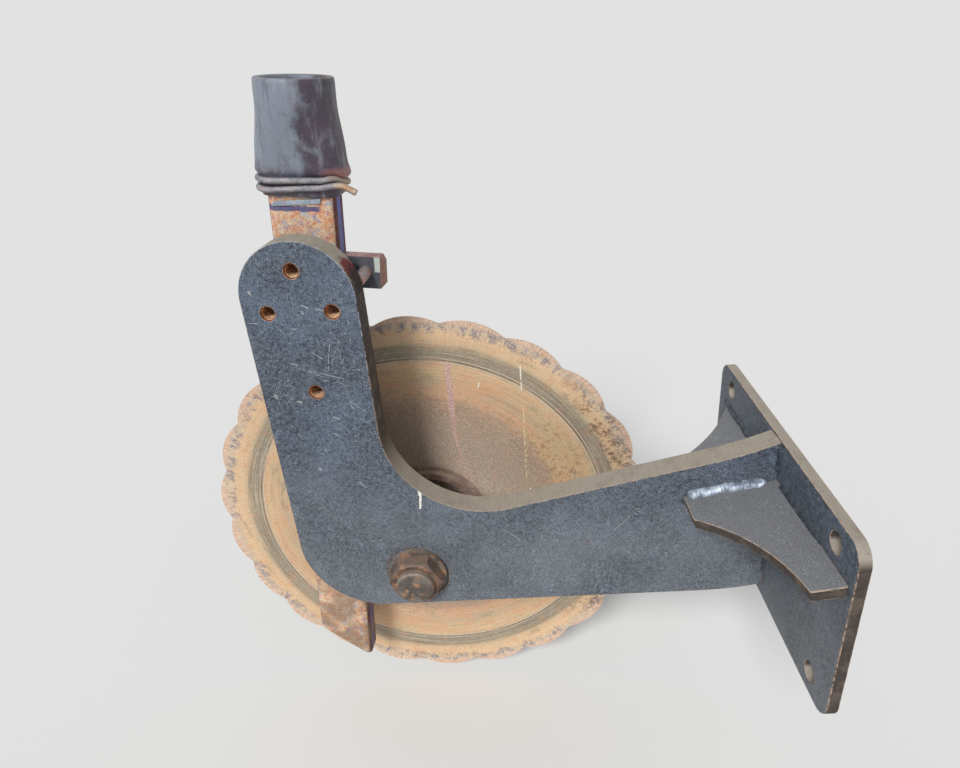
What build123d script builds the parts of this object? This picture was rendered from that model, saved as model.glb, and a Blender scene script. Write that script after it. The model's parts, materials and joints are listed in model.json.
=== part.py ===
"""Disc opener unit of a seed drill: a flame-cut arm with its end flange, a scalloped, nearly flat disc
on a spindle, and the seed tube with its rubber cuff.

Millimetres. X is the direction of travel and Z is up. The origin is the centre of the end flange's bolt
holes, on the face that bolts to the drill's frame. The arm stands at a small angle to the travel, and the
disc at a smaller one.
"""
from build123d import *
from math import cos, pi, radians, sin, sqrt, tan
import os

os.makedirs("parts", exist_ok=True)

# End flange
FLANGE_WIDTH = 320
FLANGE_HEIGHT = 180
FLANGE_THICK = 10
FLANGE_CORNER = 18
FLANGE_BOLTS_Y = 250
FLANGE_BOLTS_Z = 140
FLANGE_HOLE_R = 9

# Arm: u runs along the limb, v up, both from the spindle's axis on the arm's open face
ARM_ANGLE = 6
ARM_THICK = 25
ARM_REACH = 350
FLANGE_RISE = 75
STEM_BACK = 72
STEM_WIDTH = 108
CROOK_R = 94
CROOK_V = 177
LIMB_TOP_SLOPE = 16
LIMB_FOOT = 44
LIMB_FOOT_SLOPE = 5.7
LIMB_FLARE_RUN = 58
LIMB_FLARE_RISE = 16
LIMB_HEEL_R = 80
END_OVERRUN = 40

# Four tapped holes in the stem, M16
HOLE_LEVEL = 300
HOLE_SPACING = 60
HOLE_ABOVE = 38.5
HOLE_BELOW = 80
HOLE_R = 6.9
HEAD_CENTRE_V = 311

# Gussets in the corners between arm and flange
GUSSET_LENGTH = 80
GUSSET_V = 103.5
GUSSET_SLOPE = 14
GUSSET_THICK = 10
GUSSET_DEPTH = 140
GUSSET_LAND = 36
GUSSET_LAND_LEAN = 4
GUSSET_TIP = 10
GUSSET_HOLLOW_SHARE = 0.72

# Disc: t runs along its axis from the arm's open face
DISC_ANGLE = 3
DISC_R = 255
DISC_VALLEY_R = 247
DISC_SCALLOPS = 22
DISC_VALLEY_FILLET = 7
DISC_THICK = 5
DISC_EDGE = 1.6
DISC_BEVEL = 13
DISC_DISH_R = 6000
DISC_FLAT_R = 75
DISC_BORE_R = 24
DISC_T = 104
RIM_SPARE = 1

# Hub, turned with the disc
HUB_FLANGE_R = 60
HUB_FLANGE_THICK = 12
HUB_BARREL_R = 27
HUB_LENGTH = 37
HUB_RUNNING_GAP = 0.05
COLLAR_FOOT_R = 67
COLLAR_FOOT_THICK = 1.5
COLLAR_LIP_R = 60
COLLAR_INNER_R = 51
COLLAR_HEIGHT = 5.5
COLLAR_HOLLOW = 2.5
COLLAR_ROUND = 1.5
CAP_R = 29
CAP_FOOT = 3
CAP_DOME_R = 26
CAP_HEIGHT = 26
CAP_WALL = 2.5
CAP_ROUND = 9
BOLT_COUNT = 6
BOLT_CIRCLE_R = 36
BOLT_R = 4
BOLT_CLEARANCE = 0.2
BOLT_HEAD_R = 6.5
BOLT_HEAD_HEIGHT = 5.5
BOLT_NUT_FLATS = 13
BOLT_NUT_HEIGHT = 6.5
BOLT_END = 3

# Spindle
SPINDLE_SHAFT_R = 17.5
SPINDLE_NECK_R = 20
SPINDLE_BOSS_R = 34
SPINDLE_BOSS_END = 92
SPINDLE_END = 152
SPINDLE_FRONT = 25
NECK_CLEARANCE = 0.15
NECK_CHAMFER = 2
SPOT_DEPTH = 2.2
SPOT_R = 34
WASHER_R = 31
WASHER_THICK = 4
SPINDLE_NUT_FLATS = 50
SPINDLE_NUT_HEIGHT = 16

# Seed tube, a flattened steel tube that leans back
TUBE_LEAN = 5.3
TUBE_WIDTH = 62
TUBE_DEPTH = 32
TUBE_CORNER = 8
TUBE_WALL = 3
TUBE_U = -76
TUBE_V = 313.5
TUBE_W = 57
TUBE_UP = 112
TUBE_DOWN = 500
TUBE_MOUTH_CUT = 35

# Lug on the tube, its pin and nut, and the lower stay
LUG_LENGTH = 41
LUG_HEIGHT = 30
LUG_LEVEL = 11.5
LUG_FRONT = 10
LUG_THICK = 14
LUG_CHAMFER = 4
PIN_OUT = 23.5
PIN_UP = 7
PIN_R = 6
PIN_CLEARANCE = 0.15
PIN_END = 14
PIN_CHAMFER = 1
LUG_NUT_FLATS = 19
LUG_NUT_HEIGHT = 10
STAY_V = 150
STAY_WIDTH = 40
STAY_HEIGHT = 36

# Rubber cuff over the tube's top, and the two clamp wires round it
CUFF_FOOT = 80
CUFF_WALL = 4
CUFF_FIT = 0.3
CUFF_LIP = 101
CUFF_LIP_OUT = 2
CUFF_NECK = 150
CUFF_TOP = 176
CUFF_HOSE_R = 34
CUFF_BORE_R = 27
WIRE_R = 2.75
WIRE_SEAT = 0.3
WIRE_LEVEL_LOW = 88.5
WIRE_LEVEL_HIGH = 96.5
WIRE_TANG = 27
WIRE_TANG_DROP = 5

# Hexagon nuts: width of the turned outer face as a share of the flats, and its angle
NUT_FACE_SHARE = 0.95
NUT_FACE_ANGLE = 30

# Places that follow
ARM_TURN = radians(ARM_ANGLE)
DISC_TURN = radians(DISC_ANGLE)
SPINDLE_X = -(ARM_REACH + FLANGE_THICK)
SPINDLE_Y = ARM_REACH * tan(ARM_TURN) - ARM_THICK / 2 / cos(ARM_TURN)
SPINDLE_Z = -FLANGE_RISE
FOOT = Vector(SPINDLE_X, SPINDLE_Y, SPINDLE_Z)
ARM_ALONG = Vector(cos(ARM_TURN), -sin(ARM_TURN), 0)
ARM_FACING = Vector(-sin(ARM_TURN), -cos(ARM_TURN), 0)
DISC_AXIS = Vector(sin(DISC_TURN), cos(DISC_TURN), 0)
DISC_ALONG = Vector(cos(DISC_TURN), -sin(DISC_TURN), 0)

LIMB_FLARE_U = ARM_REACH - LIMB_FLARE_RUN
GUSSET_U = ARM_REACH - GUSSET_LENGTH
DISC_BACK = DISC_T + DISC_THICK
HUB_FLANGE_BACK = DISC_BACK + HUB_FLANGE_THICK

ARM_PLANE = Plane(origin=FOOT, x_dir=ARM_ALONG, z_dir=ARM_FACING)
ARM_BACK = ARM_PLANE.offset(-ARM_THICK)
FLANGE_BACK = Plane.YZ.offset(-FLANGE_THICK)
DISC_PLANE = Plane(origin=FOOT, x_dir=DISC_ALONG, z_dir=DISC_AXIS)
DISC_SECTION = Plane(origin=FOOT, x_dir=(0, 0, 1), z_dir=(-cos(DISC_TURN), sin(DISC_TURN), 0))
SPIN = Axis(FOOT, DISC_AXIS)

STEM_RIGHT = STEM_WIDTH / 2 - STEM_BACK
STEM_LEFT = -STEM_WIDTH / 2 - STEM_BACK


def arm_point(u, v, w=0):
    """A point of the arm's plane, w behind its open face, in the part's frame."""
    return ARM_PLANE.from_local_coords(Vector(u, v, -w))


def hex_nuts(seat, flats, height, bore_r, circle_r=0, count=1):
    """Hexagon nuts on a seat plane that faces outwards, with their outer corners turned off."""
    corner_r = flats / sqrt(3)
    turned = corner_r - flats / 2 * NUT_FACE_SHARE
    with BuildPart() as nuts:
        with BuildSketch(seat):
            with PolarLocations(circle_r, count):
                Circle(corner_r)
        extrude(amount=height)
        for outer_face in nuts.faces().sort_by(Axis(seat.origin, seat.z_dir))[-count:]:
            chamfer(
                outer_face.edges(),
                length=turned,
                length2=turned * tan(radians(NUT_FACE_ANGLE)),
                reference=outer_face,
            )
        with BuildSketch(seat):
            with PolarLocations(circle_r, count):
                RegularPolygon(flats / 2, 6, major_radius=False)
                Circle(bore_r, mode=Mode.SUBTRACT)
        extrude(amount=height, mode=Mode.INTERSECT)
    return nuts


def save(piece, name):
    """Name a finished piece and write it."""
    piece.part.label = name
    export_step(piece.part, f"parts/{name}.step")


# Arm plate: rounded head, straight stem, round crook and a limb that widens towards the flange
slope = radians(LIMB_TOP_SLOPE)
foot_slope = radians(LIMB_FOOT_SLOPE)
crook_u = STEM_RIGHT + CROOK_R
crook_end = (crook_u + CROOK_R * sin(slope), CROOK_V - CROOK_R * cos(slope))
crook_mid_turn = (pi / 2 + slope) / 2
crook_mid = (crook_u - CROOK_R * cos(crook_mid_turn), CROOK_V - CROOK_R * sin(crook_mid_turn))
flare_top = (LIMB_FLARE_U, crook_end[1] + (LIMB_FLARE_U - crook_end[0]) * tan(slope))
flare_foot = (LIMB_FLARE_U, -LIMB_FOOT + LIMB_FLARE_U * tan(foot_slope))
limb_end_u = ARM_REACH + END_OVERRUN
top_end = (limb_end_u, flare_top[1] + (limb_end_u - LIMB_FLARE_U) * tan(slope) + LIMB_FLARE_RISE)
foot_end = (limb_end_u, flare_foot[1] + (limb_end_u - LIMB_FLARE_U) * tan(foot_slope) + LIMB_FLARE_RISE)
heel = (STEM_LEFT, -LIMB_FOOT + STEM_LEFT * tan(foot_slope))

with BuildPart() as arm_plate:
    with BuildSketch(ARM_PLANE):
        with BuildLine():
            ThreePointArc(
                (STEM_LEFT, HEAD_CENTRE_V),
                (-STEM_BACK, HEAD_CENTRE_V + STEM_WIDTH / 2),
                (STEM_RIGHT, HEAD_CENTRE_V),
            )
            Line((STEM_RIGHT, HEAD_CENTRE_V), (STEM_RIGHT, CROOK_V))
            ThreePointArc((STEM_RIGHT, CROOK_V), crook_mid, crook_end)
            Line(crook_end, flare_top)
            TangentArc(flare_top, top_end, tangent=(cos(slope), sin(slope)))
            Line(top_end, foot_end)
            TangentArc(flare_foot, foot_end, tangent=(cos(foot_slope), sin(foot_slope)))
            FilletPolyline(flare_foot, heel, (STEM_LEFT, HEAD_CENTRE_V), radius=LIMB_HEEL_R)
        make_face()
    extrude(amount=-ARM_THICK)
    split(bisect_by=FLANGE_BACK, keep=Keep.BOTTOM)
    hole_places = (
        (-STEM_BACK, HOLE_LEVEL + HOLE_ABOVE),
        (-STEM_BACK - HOLE_SPACING / 2, HOLE_LEVEL),
        (-STEM_BACK + HOLE_SPACING / 2, HOLE_LEVEL),
        (-STEM_BACK, HOLE_LEVEL - HOLE_BELOW),
    )
    with BuildSketch(ARM_PLANE):
        with Locations(*hole_places):
            Circle(HOLE_R)
    extrude(amount=-ARM_THICK, mode=Mode.SUBTRACT)
    with BuildSketch(DISC_PLANE.offset(-ARM_THICK)):
        Circle(SPINDLE_NECK_R + NECK_CLEARANCE)
    extrude(amount=3 * ARM_THICK, mode=Mode.SUBTRACT)
    with BuildSketch(DISC_PLANE.offset(SPOT_DEPTH)):
        Circle(SPOT_R)
    extrude(amount=-ARM_THICK, mode=Mode.SUBTRACT)
save(arm_plate, "arm_plate")

# End flange
with BuildPart() as end_flange:
    with BuildSketch(FLANGE_BACK):
        RectangleRounded(FLANGE_WIDTH, FLANGE_HEIGHT, FLANGE_CORNER)
        with GridLocations(FLANGE_BOLTS_Y, FLANGE_BOLTS_Z, 2, 2):
            Circle(FLANGE_HOLE_R, mode=Mode.SUBTRACT)
    extrude(amount=FLANGE_THICK)
save(end_flange, "end_flange")

# Gussets: a plate each side of the arm, with a hollow free edge
gusset_slope = radians(GUSSET_SLOPE)
gusset_along = ARM_ALONG * cos(gusset_slope) + Vector(0, 0, sin(gusset_slope))
gusset_run = GUSSET_LENGTH / cos(gusset_slope)
gusset_tip_s = gusset_run - GUSSET_TIP
gusset_table = (
    # name, side of the arm (1 is the open face), depth of the arm's face
    ("gusset_open_side", 1, 0),
    ("gusset_disc_side", -1, ARM_THICK),
)
for gusset_name, side, face_depth in gusset_table:
    outward = ARM_FACING * side
    gusset_plane = Plane(
        origin=arm_point(GUSSET_U, GUSSET_V, face_depth),
        x_dir=gusset_along,
        z_dir=gusset_along.cross(outward),
    )
    with BuildPart() as gusset:
        with BuildSketch(gusset_plane):
            with BuildLine():
                Line((0, 0), (GUSSET_LAND_LEAN, GUSSET_LAND))
                ThreePointArc(
                    (GUSSET_LAND_LEAN, GUSSET_LAND),
                    (gusset_tip_s * GUSSET_HOLLOW_SHARE, (GUSSET_LAND + GUSSET_DEPTH) / 2),
                    (gusset_tip_s, GUSSET_DEPTH),
                )
                Polyline(
                    (gusset_tip_s, GUSSET_DEPTH),
                    (gusset_run + END_OVERRUN, GUSSET_DEPTH),
                    (gusset_run + END_OVERRUN, 0),
                    (0, 0),
                )
            make_face()
        extrude(amount=GUSSET_THICK * side)
        split(bisect_by=FLANGE_BACK, keep=Keep.BOTTOM)
    save(gusset, gusset_name)


def dish_t(r):
    """Place of the disc's front face at radius r, along its axis."""
    flat_sag = DISC_DISH_R - sqrt(DISC_DISH_R**2 - DISC_FLAT_R**2)
    sag = DISC_DISH_R - sqrt(DISC_DISH_R**2 - r**2)
    return DISC_T - sag + flat_sag


# Disc: flat centre, slightly dished body, bevelled edge, then the scalloped outline
rim_r = DISC_R + RIM_SPARE
bevel_r = DISC_VALLEY_R - DISC_BEVEL
with BuildPart() as disc:
    with BuildSketch(DISC_SECTION):
        with BuildLine():
            Line((DISC_BORE_R, DISC_T), (DISC_FLAT_R, DISC_T))
            ThreePointArc(
                (DISC_FLAT_R, DISC_T),
                ((DISC_FLAT_R + rim_r) / 2, dish_t((DISC_FLAT_R + rim_r) / 2)),
                (rim_r, dish_t(rim_r)),
            )
            Polyline(
                (rim_r, dish_t(rim_r)),
                (rim_r, dish_t(rim_r) + DISC_EDGE),
                (bevel_r, dish_t(bevel_r) + DISC_THICK),
            )
            ThreePointArc(
                (bevel_r, dish_t(bevel_r) + DISC_THICK),
                ((DISC_FLAT_R + bevel_r) / 2, dish_t((DISC_FLAT_R + bevel_r) / 2) + DISC_THICK),
                (DISC_FLAT_R, DISC_T + DISC_THICK),
            )
            Polyline(
                (DISC_FLAT_R, DISC_T + DISC_THICK),
                (DISC_BORE_R, DISC_T + DISC_THICK),
                (DISC_BORE_R, DISC_T),
            )
        make_face()
    revolve(axis=SPIN)
    with BuildSketch(DISC_PLANE) as scallops:
        with BuildLine():
            step = 2 * pi / DISC_SCALLOPS
            for i in range(DISC_SCALLOPS):
                valley = (DISC_VALLEY_R * cos(i * step), DISC_VALLEY_R * sin(i * step))
                crest = (DISC_R * cos((i + 0.5) * step), DISC_R * sin((i + 0.5) * step))
                next_valley = (DISC_VALLEY_R * cos((i + 1) * step), DISC_VALLEY_R * sin((i + 1) * step))
                ThreePointArc(valley, crest, next_valley)
        make_face()
        fillet(scallops.vertices(), radius=DISC_VALLEY_FILLET)
    extrude(amount=DISC_T + 2 * DISC_THICK, mode=Mode.INTERSECT)
    with BuildSketch(DISC_PLANE.offset(DISC_T)):
        with PolarLocations(BOLT_CIRCLE_R, BOLT_COUNT):
            Circle(BOLT_R + BOLT_CLEARANCE)
    extrude(amount=DISC_THICK, mode=Mode.SUBTRACT)
save(disc, "disc")

# Hub body: a flange against the disc's back and the bearing barrel behind it
with BuildPart() as hub_body:
    with BuildSketch(DISC_PLANE.offset(DISC_BACK)):
        Circle(HUB_BARREL_R)
    extrude(amount=HUB_LENGTH)
    with BuildSketch(DISC_PLANE.offset(DISC_BACK)):
        Circle(HUB_FLANGE_R)
        with PolarLocations(BOLT_CIRCLE_R, BOLT_COUNT):
            Circle(BOLT_R + BOLT_CLEARANCE, mode=Mode.SUBTRACT)
    extrude(amount=HUB_FLANGE_THICK)
    with BuildSketch(DISC_PLANE.offset(DISC_BACK)):
        Circle(SPINDLE_SHAFT_R + HUB_RUNNING_GAP)
    extrude(amount=HUB_LENGTH, mode=Mode.SUBTRACT)
save(hub_body, "hub_body")

# Low ring round the bolts on the disc's front: thin foot, hollow corner, rounded lip
lip_t = DISC_T - COLLAR_HEIGHT
foot_t = DISC_T - COLLAR_FOOT_THICK
with BuildPart() as hub_collar:
    with BuildSketch(DISC_SECTION) as collar_section:
        with BuildLine():
            Polyline(
                (COLLAR_INNER_R, DISC_T),
                (COLLAR_FOOT_R, DISC_T),
                (COLLAR_FOOT_R, foot_t),
                (COLLAR_LIP_R + COLLAR_HOLLOW, foot_t),
            )
            RadiusArc(
                (COLLAR_LIP_R + COLLAR_HOLLOW, foot_t), (COLLAR_LIP_R, foot_t - COLLAR_HOLLOW), -COLLAR_HOLLOW
            )
            Polyline(
                (COLLAR_LIP_R, foot_t - COLLAR_HOLLOW),
                (COLLAR_LIP_R, lip_t),
                (COLLAR_INNER_R, lip_t),
                (COLLAR_INNER_R, DISC_T),
            )
        make_face()
        lip_corners = collar_section.vertices().sort_by(Axis(FOOT, DISC_AXIS))[0:2]
        fillet(lip_corners, radius=COLLAR_ROUND)
    revolve(axis=SPIN)
save(hub_collar, "hub_collar")

# Dust cap on the barrel's end
cap_base = DISC_BACK + HUB_LENGTH
cap_inner_r = CAP_DOME_R - CAP_WALL
cap_top = cap_base + CAP_HEIGHT
with BuildPart() as hub_cap:
    with BuildSketch(DISC_SECTION):
        with BuildLine():
            Line((0, cap_top - CAP_WALL), (0, cap_top))
            Line((0, cap_top), (CAP_DOME_R - CAP_ROUND, cap_top))
            RadiusArc((CAP_DOME_R - CAP_ROUND, cap_top), (CAP_DOME_R, cap_top - CAP_ROUND), CAP_ROUND)
            Polyline(
                (CAP_DOME_R, cap_top - CAP_ROUND),
                (CAP_DOME_R, cap_base + CAP_FOOT),
                (CAP_R, cap_base + CAP_FOOT),
                (CAP_R, cap_base),
                (cap_inner_r, cap_base),
                (cap_inner_r, cap_top - CAP_ROUND),
            )
            RadiusArc(
                (cap_inner_r, cap_top - CAP_ROUND),
                (CAP_DOME_R - CAP_ROUND, cap_top - CAP_WALL),
                CAP_WALL - CAP_ROUND,
            )
            Line((CAP_DOME_R - CAP_ROUND, cap_top - CAP_WALL), (0, cap_top - CAP_WALL))
        make_face()
    revolve(axis=SPIN)
save(hub_cap, "hub_cap")

# Bolts through disc and hub flange, and their nuts
with BuildPart() as disc_bolts:
    with BuildSketch(DISC_PLANE.offset(DISC_T)):
        with PolarLocations(BOLT_CIRCLE_R, BOLT_COUNT):
            Circle(BOLT_HEAD_R)
    extrude(amount=-BOLT_HEAD_HEIGHT)
    fillet(disc_bolts.faces().sort_by(SPIN)[0:BOLT_COUNT].edges(), radius=BOLT_HEAD_HEIGHT * 0.6)
    with BuildSketch(DISC_PLANE.offset(DISC_T)):
        with PolarLocations(BOLT_CIRCLE_R, BOLT_COUNT):
            Circle(BOLT_R)
    extrude(amount=DISC_THICK + HUB_FLANGE_THICK + BOLT_NUT_HEIGHT + BOLT_END)
save(disc_bolts, "disc_bolts")

disc_nuts = hex_nuts(
    DISC_PLANE.offset(HUB_FLANGE_BACK),
    BOLT_NUT_FLATS,
    BOLT_NUT_HEIGHT,
    BOLT_R + BOLT_CLEARANCE,
    BOLT_CIRCLE_R,
    BOLT_COUNT,
)
save(disc_nuts, "disc_nuts")

# Spindle: boss seated square on the arm's back, neck through the arm, shaft in the hub
with BuildPart() as spindle:
    with BuildSketch(DISC_PLANE):
        Circle(SPINDLE_BOSS_R)
    extrude(amount=SPINDLE_BOSS_END)
    split(bisect_by=ARM_BACK, keep=Keep.BOTTOM)
    with BuildSketch(DISC_PLANE.offset(-SPINDLE_FRONT)):
        Circle(SPINDLE_NECK_R)
    extrude(amount=SPINDLE_FRONT + SPINDLE_BOSS_END)
    with BuildSketch(DISC_PLANE.offset(SPINDLE_BOSS_END)):
        Circle(SPINDLE_SHAFT_R)
    extrude(amount=SPINDLE_END - SPINDLE_BOSS_END)
    chamfer(spindle.faces().sort_by(SPIN)[0].edges(), length=NECK_CHAMFER)
save(spindle, "spindle")

with BuildPart() as spindle_washer:
    with BuildSketch(DISC_PLANE.offset(SPOT_DEPTH)):
        Circle(WASHER_R)
        Circle(SPINDLE_NECK_R + NECK_CLEARANCE, mode=Mode.SUBTRACT)
    extrude(amount=-WASHER_THICK)
save(spindle_washer, "spindle_washer")

spindle_nut_seat = Plane(
    origin=FOOT + DISC_AXIS * (SPOT_DEPTH - WASHER_THICK), x_dir=DISC_ALONG, z_dir=-DISC_AXIS
)
spindle_nut = hex_nuts(
    spindle_nut_seat, SPINDLE_NUT_FLATS, SPINDLE_NUT_HEIGHT, SPINDLE_NECK_R + NECK_CLEARANCE
)
save(spindle_nut, "spindle_nut")

# Seed tube
lean = radians(TUBE_LEAN)
tube_up = ARM_ALONG * sin(lean) + Vector(0, 0, cos(lean))
tube_right = ARM_ALONG * cos(lean) - Vector(0, 0, sin(lean))
TUBE_PLANE = Plane(origin=arm_point(TUBE_U, TUBE_V, TUBE_W), x_dir=tube_right, z_dir=tube_up)
mouth_turn = radians(TUBE_MOUTH_CUT)
mouth_plane = Plane(
    origin=TUBE_PLANE.from_local_coords(Vector(0, 0, -TUBE_DOWN + TUBE_WIDTH / 2)),
    z_dir=tube_up * cos(mouth_turn) + tube_right * sin(mouth_turn),
)
with BuildPart() as seed_tube:
    with BuildSketch(TUBE_PLANE.offset(-TUBE_DOWN)):
        RectangleRounded(TUBE_WIDTH, TUBE_DEPTH, TUBE_CORNER)
        RectangleRounded(
            TUBE_WIDTH - 2 * TUBE_WALL,
            TUBE_DEPTH - 2 * TUBE_WALL,
            TUBE_CORNER - TUBE_WALL,
            mode=Mode.SUBTRACT,
        )
    extrude(amount=TUBE_DOWN + TUBE_UP)
    split(bisect_by=mouth_plane, keep=Keep.TOP)
save(seed_tube, "seed_tube")

# Lug on the tube's side, its pin and nut
pin_place = (TUBE_U + TUBE_WIDTH / 2 + PIN_OUT, TUBE_V + PIN_UP)
with BuildPart() as tube_lug:
    with BuildSketch(TUBE_PLANE.offset(LUG_LEVEL - LUG_HEIGHT / 2)):
        with Locations((TUBE_WIDTH / 2 + LUG_LENGTH / 2, -LUG_FRONT + LUG_THICK / 2)):
            Rectangle(LUG_LENGTH, LUG_THICK)
    extrude(amount=LUG_HEIGHT)
    outer_end = tube_lug.faces().sort_by(Axis(TUBE_PLANE.origin, tube_right))[-1]
    chamfer(outer_end.edges(), length=LUG_CHAMFER)
    with BuildSketch(ARM_PLANE):
        with Locations(pin_place):
            Circle(PIN_R + PIN_CLEARANCE)
    extrude(amount=-3 * TUBE_W, mode=Mode.SUBTRACT)
save(tube_lug, "tube_lug")

lug_back = TUBE_W - LUG_FRONT + LUG_THICK
with BuildPart() as lug_pin:
    with BuildSketch(ARM_BACK):
        with Locations(pin_place):
            Circle(PIN_R)
    extrude(amount=-(lug_back + PIN_END - ARM_THICK))
    chamfer(lug_pin.faces().sort_by(Axis(FOOT, ARM_FACING))[0].edges(), length=PIN_CHAMFER)
save(lug_pin, "lug_pin")

lug_nut_seat = Plane(origin=arm_point(*pin_place, lug_back), x_dir=ARM_ALONG, z_dir=-ARM_FACING)
lug_nut = hex_nuts(lug_nut_seat, LUG_NUT_FLATS, LUG_NUT_HEIGHT, PIN_R + PIN_CLEARANCE)
save(lug_nut, "lug_nut")

# Lower stay between arm and tube
with BuildPart() as tube_stay:
    with BuildSketch(ARM_BACK):
        with Locations((TUBE_U - (TUBE_V - STAY_V) * tan(lean), STAY_V)):
            Rectangle(STAY_WIDTH, STAY_HEIGHT)
    extrude(amount=-(TUBE_W - TUBE_DEPTH / 2 - ARM_THICK))
save(tube_stay, "tube_stay")

# Cuff: sleeve on the tube, flared lip above the clamp, then the round hose
sleeve_width = TUBE_WIDTH + 2 * CUFF_WALL
sleeve_depth = TUBE_DEPTH + 2 * CUFF_WALL
sleeve_corner = TUBE_CORNER + CUFF_WALL
with BuildPart() as hose_cuff:
    with BuildSketch(TUBE_PLANE.offset(CUFF_FOOT)):
        RectangleRounded(sleeve_width, sleeve_depth, sleeve_corner)
    extrude(amount=CUFF_LIP - CUFF_FOOT)
    with BuildSketch(TUBE_PLANE.offset(CUFF_LIP)):
        RectangleRounded(
            sleeve_width + 2 * CUFF_LIP_OUT, sleeve_depth + 2 * CUFF_LIP_OUT, sleeve_corner + CUFF_LIP_OUT
        )
    with BuildSketch(TUBE_PLANE.offset(CUFF_NECK)):
        Circle(CUFF_HOSE_R)
    loft()
    with BuildSketch(TUBE_PLANE.offset(CUFF_NECK)):
        Circle(CUFF_HOSE_R)
    extrude(amount=CUFF_TOP - CUFF_NECK)
    with BuildSketch(TUBE_PLANE.offset(CUFF_FOOT)):
        RectangleRounded(TUBE_WIDTH + 2 * CUFF_FIT, TUBE_DEPTH + 2 * CUFF_FIT, TUBE_CORNER + CUFF_FIT)
    extrude(amount=TUBE_UP - CUFF_FOOT, mode=Mode.SUBTRACT)
    with BuildSketch(TUBE_PLANE.offset(TUBE_UP)):
        RectangleRounded(TUBE_WIDTH - 2 * TUBE_WALL, TUBE_DEPTH - 2 * TUBE_WALL, TUBE_CORNER)
    with BuildSketch(TUBE_PLANE.offset(CUFF_NECK)):
        Circle(CUFF_BORE_R)
    loft(mode=Mode.SUBTRACT)
    with BuildSketch(TUBE_PLANE.offset(CUFF_NECK)):
        Circle(CUFF_BORE_R)
    extrude(amount=CUFF_TOP - CUFF_NECK, mode=Mode.SUBTRACT)
save(hose_cuff, "hose_cuff")

# Clamp wires: a loop round the sleeve each, and a cut end that stands out at the corner
loop_x = sleeve_width / 2 + WIRE_R + WIRE_SEAT
loop_y = sleeve_depth / 2 + WIRE_R + WIRE_SEAT
loop_r = sleeve_corner + WIRE_R + WIRE_SEAT
wire_table = (
    # name, level on the tube, reach of the free end, its drop
    ("clamp_wire_lower", WIRE_LEVEL_LOW, WIRE_TANG, WIRE_TANG_DROP),
    ("clamp_wire_upper", WIRE_LEVEL_HIGH, 0, 0),
)
for wire_name, level, reach, drop in wire_table:
    corners = [
        (loop_x - loop_r, -loop_y, level),
        (-loop_x, -loop_y, level),
        (-loop_x, loop_y, level),
        (loop_x, loop_y, level),
        (loop_x, loop_r - loop_y, level),
    ]
    if reach:
        corners.insert(0, (loop_x - loop_r + reach, -loop_y - reach / 6, level - drop))
    route = [TUBE_PLANE.from_local_coords(Vector(*corner)) for corner in corners]
    with BuildPart() as clamp_wire:
        with BuildLine() as wire_path:
            FilletPolyline(*route, radius=loop_r * 0.95)
        with BuildSketch(Plane(origin=wire_path.line @ 0, z_dir=wire_path.line % 0)):
            Circle(WIRE_R)
        sweep()
    save(clamp_wire, wire_name)
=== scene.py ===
"""Looks for one disc opener unit: worn paint, soil-polished disc, rusted tube, rubber cuff and tie wires.

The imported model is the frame. Its rigid nodes keep their shapes and get finishes here. The cuff, the tie
wires, the weld beads, the screw threads and the band under the cuff are modelled here.
"""

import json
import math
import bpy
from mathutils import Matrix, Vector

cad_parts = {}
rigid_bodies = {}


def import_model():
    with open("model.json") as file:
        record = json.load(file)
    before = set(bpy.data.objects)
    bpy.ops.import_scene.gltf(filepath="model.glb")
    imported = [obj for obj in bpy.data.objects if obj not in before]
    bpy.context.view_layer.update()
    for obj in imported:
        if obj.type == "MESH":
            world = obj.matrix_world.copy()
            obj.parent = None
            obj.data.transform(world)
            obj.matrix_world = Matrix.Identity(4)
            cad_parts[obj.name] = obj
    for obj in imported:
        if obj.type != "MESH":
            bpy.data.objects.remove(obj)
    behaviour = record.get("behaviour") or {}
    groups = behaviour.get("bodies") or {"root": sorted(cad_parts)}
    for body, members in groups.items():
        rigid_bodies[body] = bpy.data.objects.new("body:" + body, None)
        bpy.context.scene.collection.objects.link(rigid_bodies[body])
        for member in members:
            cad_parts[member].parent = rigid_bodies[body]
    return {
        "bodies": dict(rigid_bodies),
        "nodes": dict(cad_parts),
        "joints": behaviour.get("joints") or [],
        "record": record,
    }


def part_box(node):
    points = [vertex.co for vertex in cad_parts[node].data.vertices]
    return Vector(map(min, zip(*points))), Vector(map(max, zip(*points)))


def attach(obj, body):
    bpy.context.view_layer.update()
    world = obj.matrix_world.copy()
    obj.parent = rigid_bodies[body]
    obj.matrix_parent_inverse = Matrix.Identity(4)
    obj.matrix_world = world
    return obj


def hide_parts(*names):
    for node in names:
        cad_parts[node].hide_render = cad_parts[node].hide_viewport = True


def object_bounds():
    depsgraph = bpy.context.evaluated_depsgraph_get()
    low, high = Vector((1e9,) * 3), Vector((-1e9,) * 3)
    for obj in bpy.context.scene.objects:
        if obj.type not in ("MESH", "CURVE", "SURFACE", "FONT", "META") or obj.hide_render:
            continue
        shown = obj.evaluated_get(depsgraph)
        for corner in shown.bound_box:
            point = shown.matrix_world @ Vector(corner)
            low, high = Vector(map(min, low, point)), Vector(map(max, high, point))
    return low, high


bl_info = {
    "name": "Disc opener unit",
    "version": (1, 0, 0),
    "blender": (4, 5, 0),
    "location": "View3D > Sidebar > Opener",
    "description": "Finishes and small pieces of a disc opener unit",
    "category": "Object",
}

import bmesh
import bpy
from bpy.props import FloatProperty, FloatVectorProperty, PointerProperty
from mathutils import Matrix, Vector, noise

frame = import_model()
CAD_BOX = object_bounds()
NODES = frame["nodes"]
MOUNTS = {mount["name"]: mount for mount in frame["record"]["mounts"]}
SPIN_JOINT = frame["joints"][0]

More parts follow.
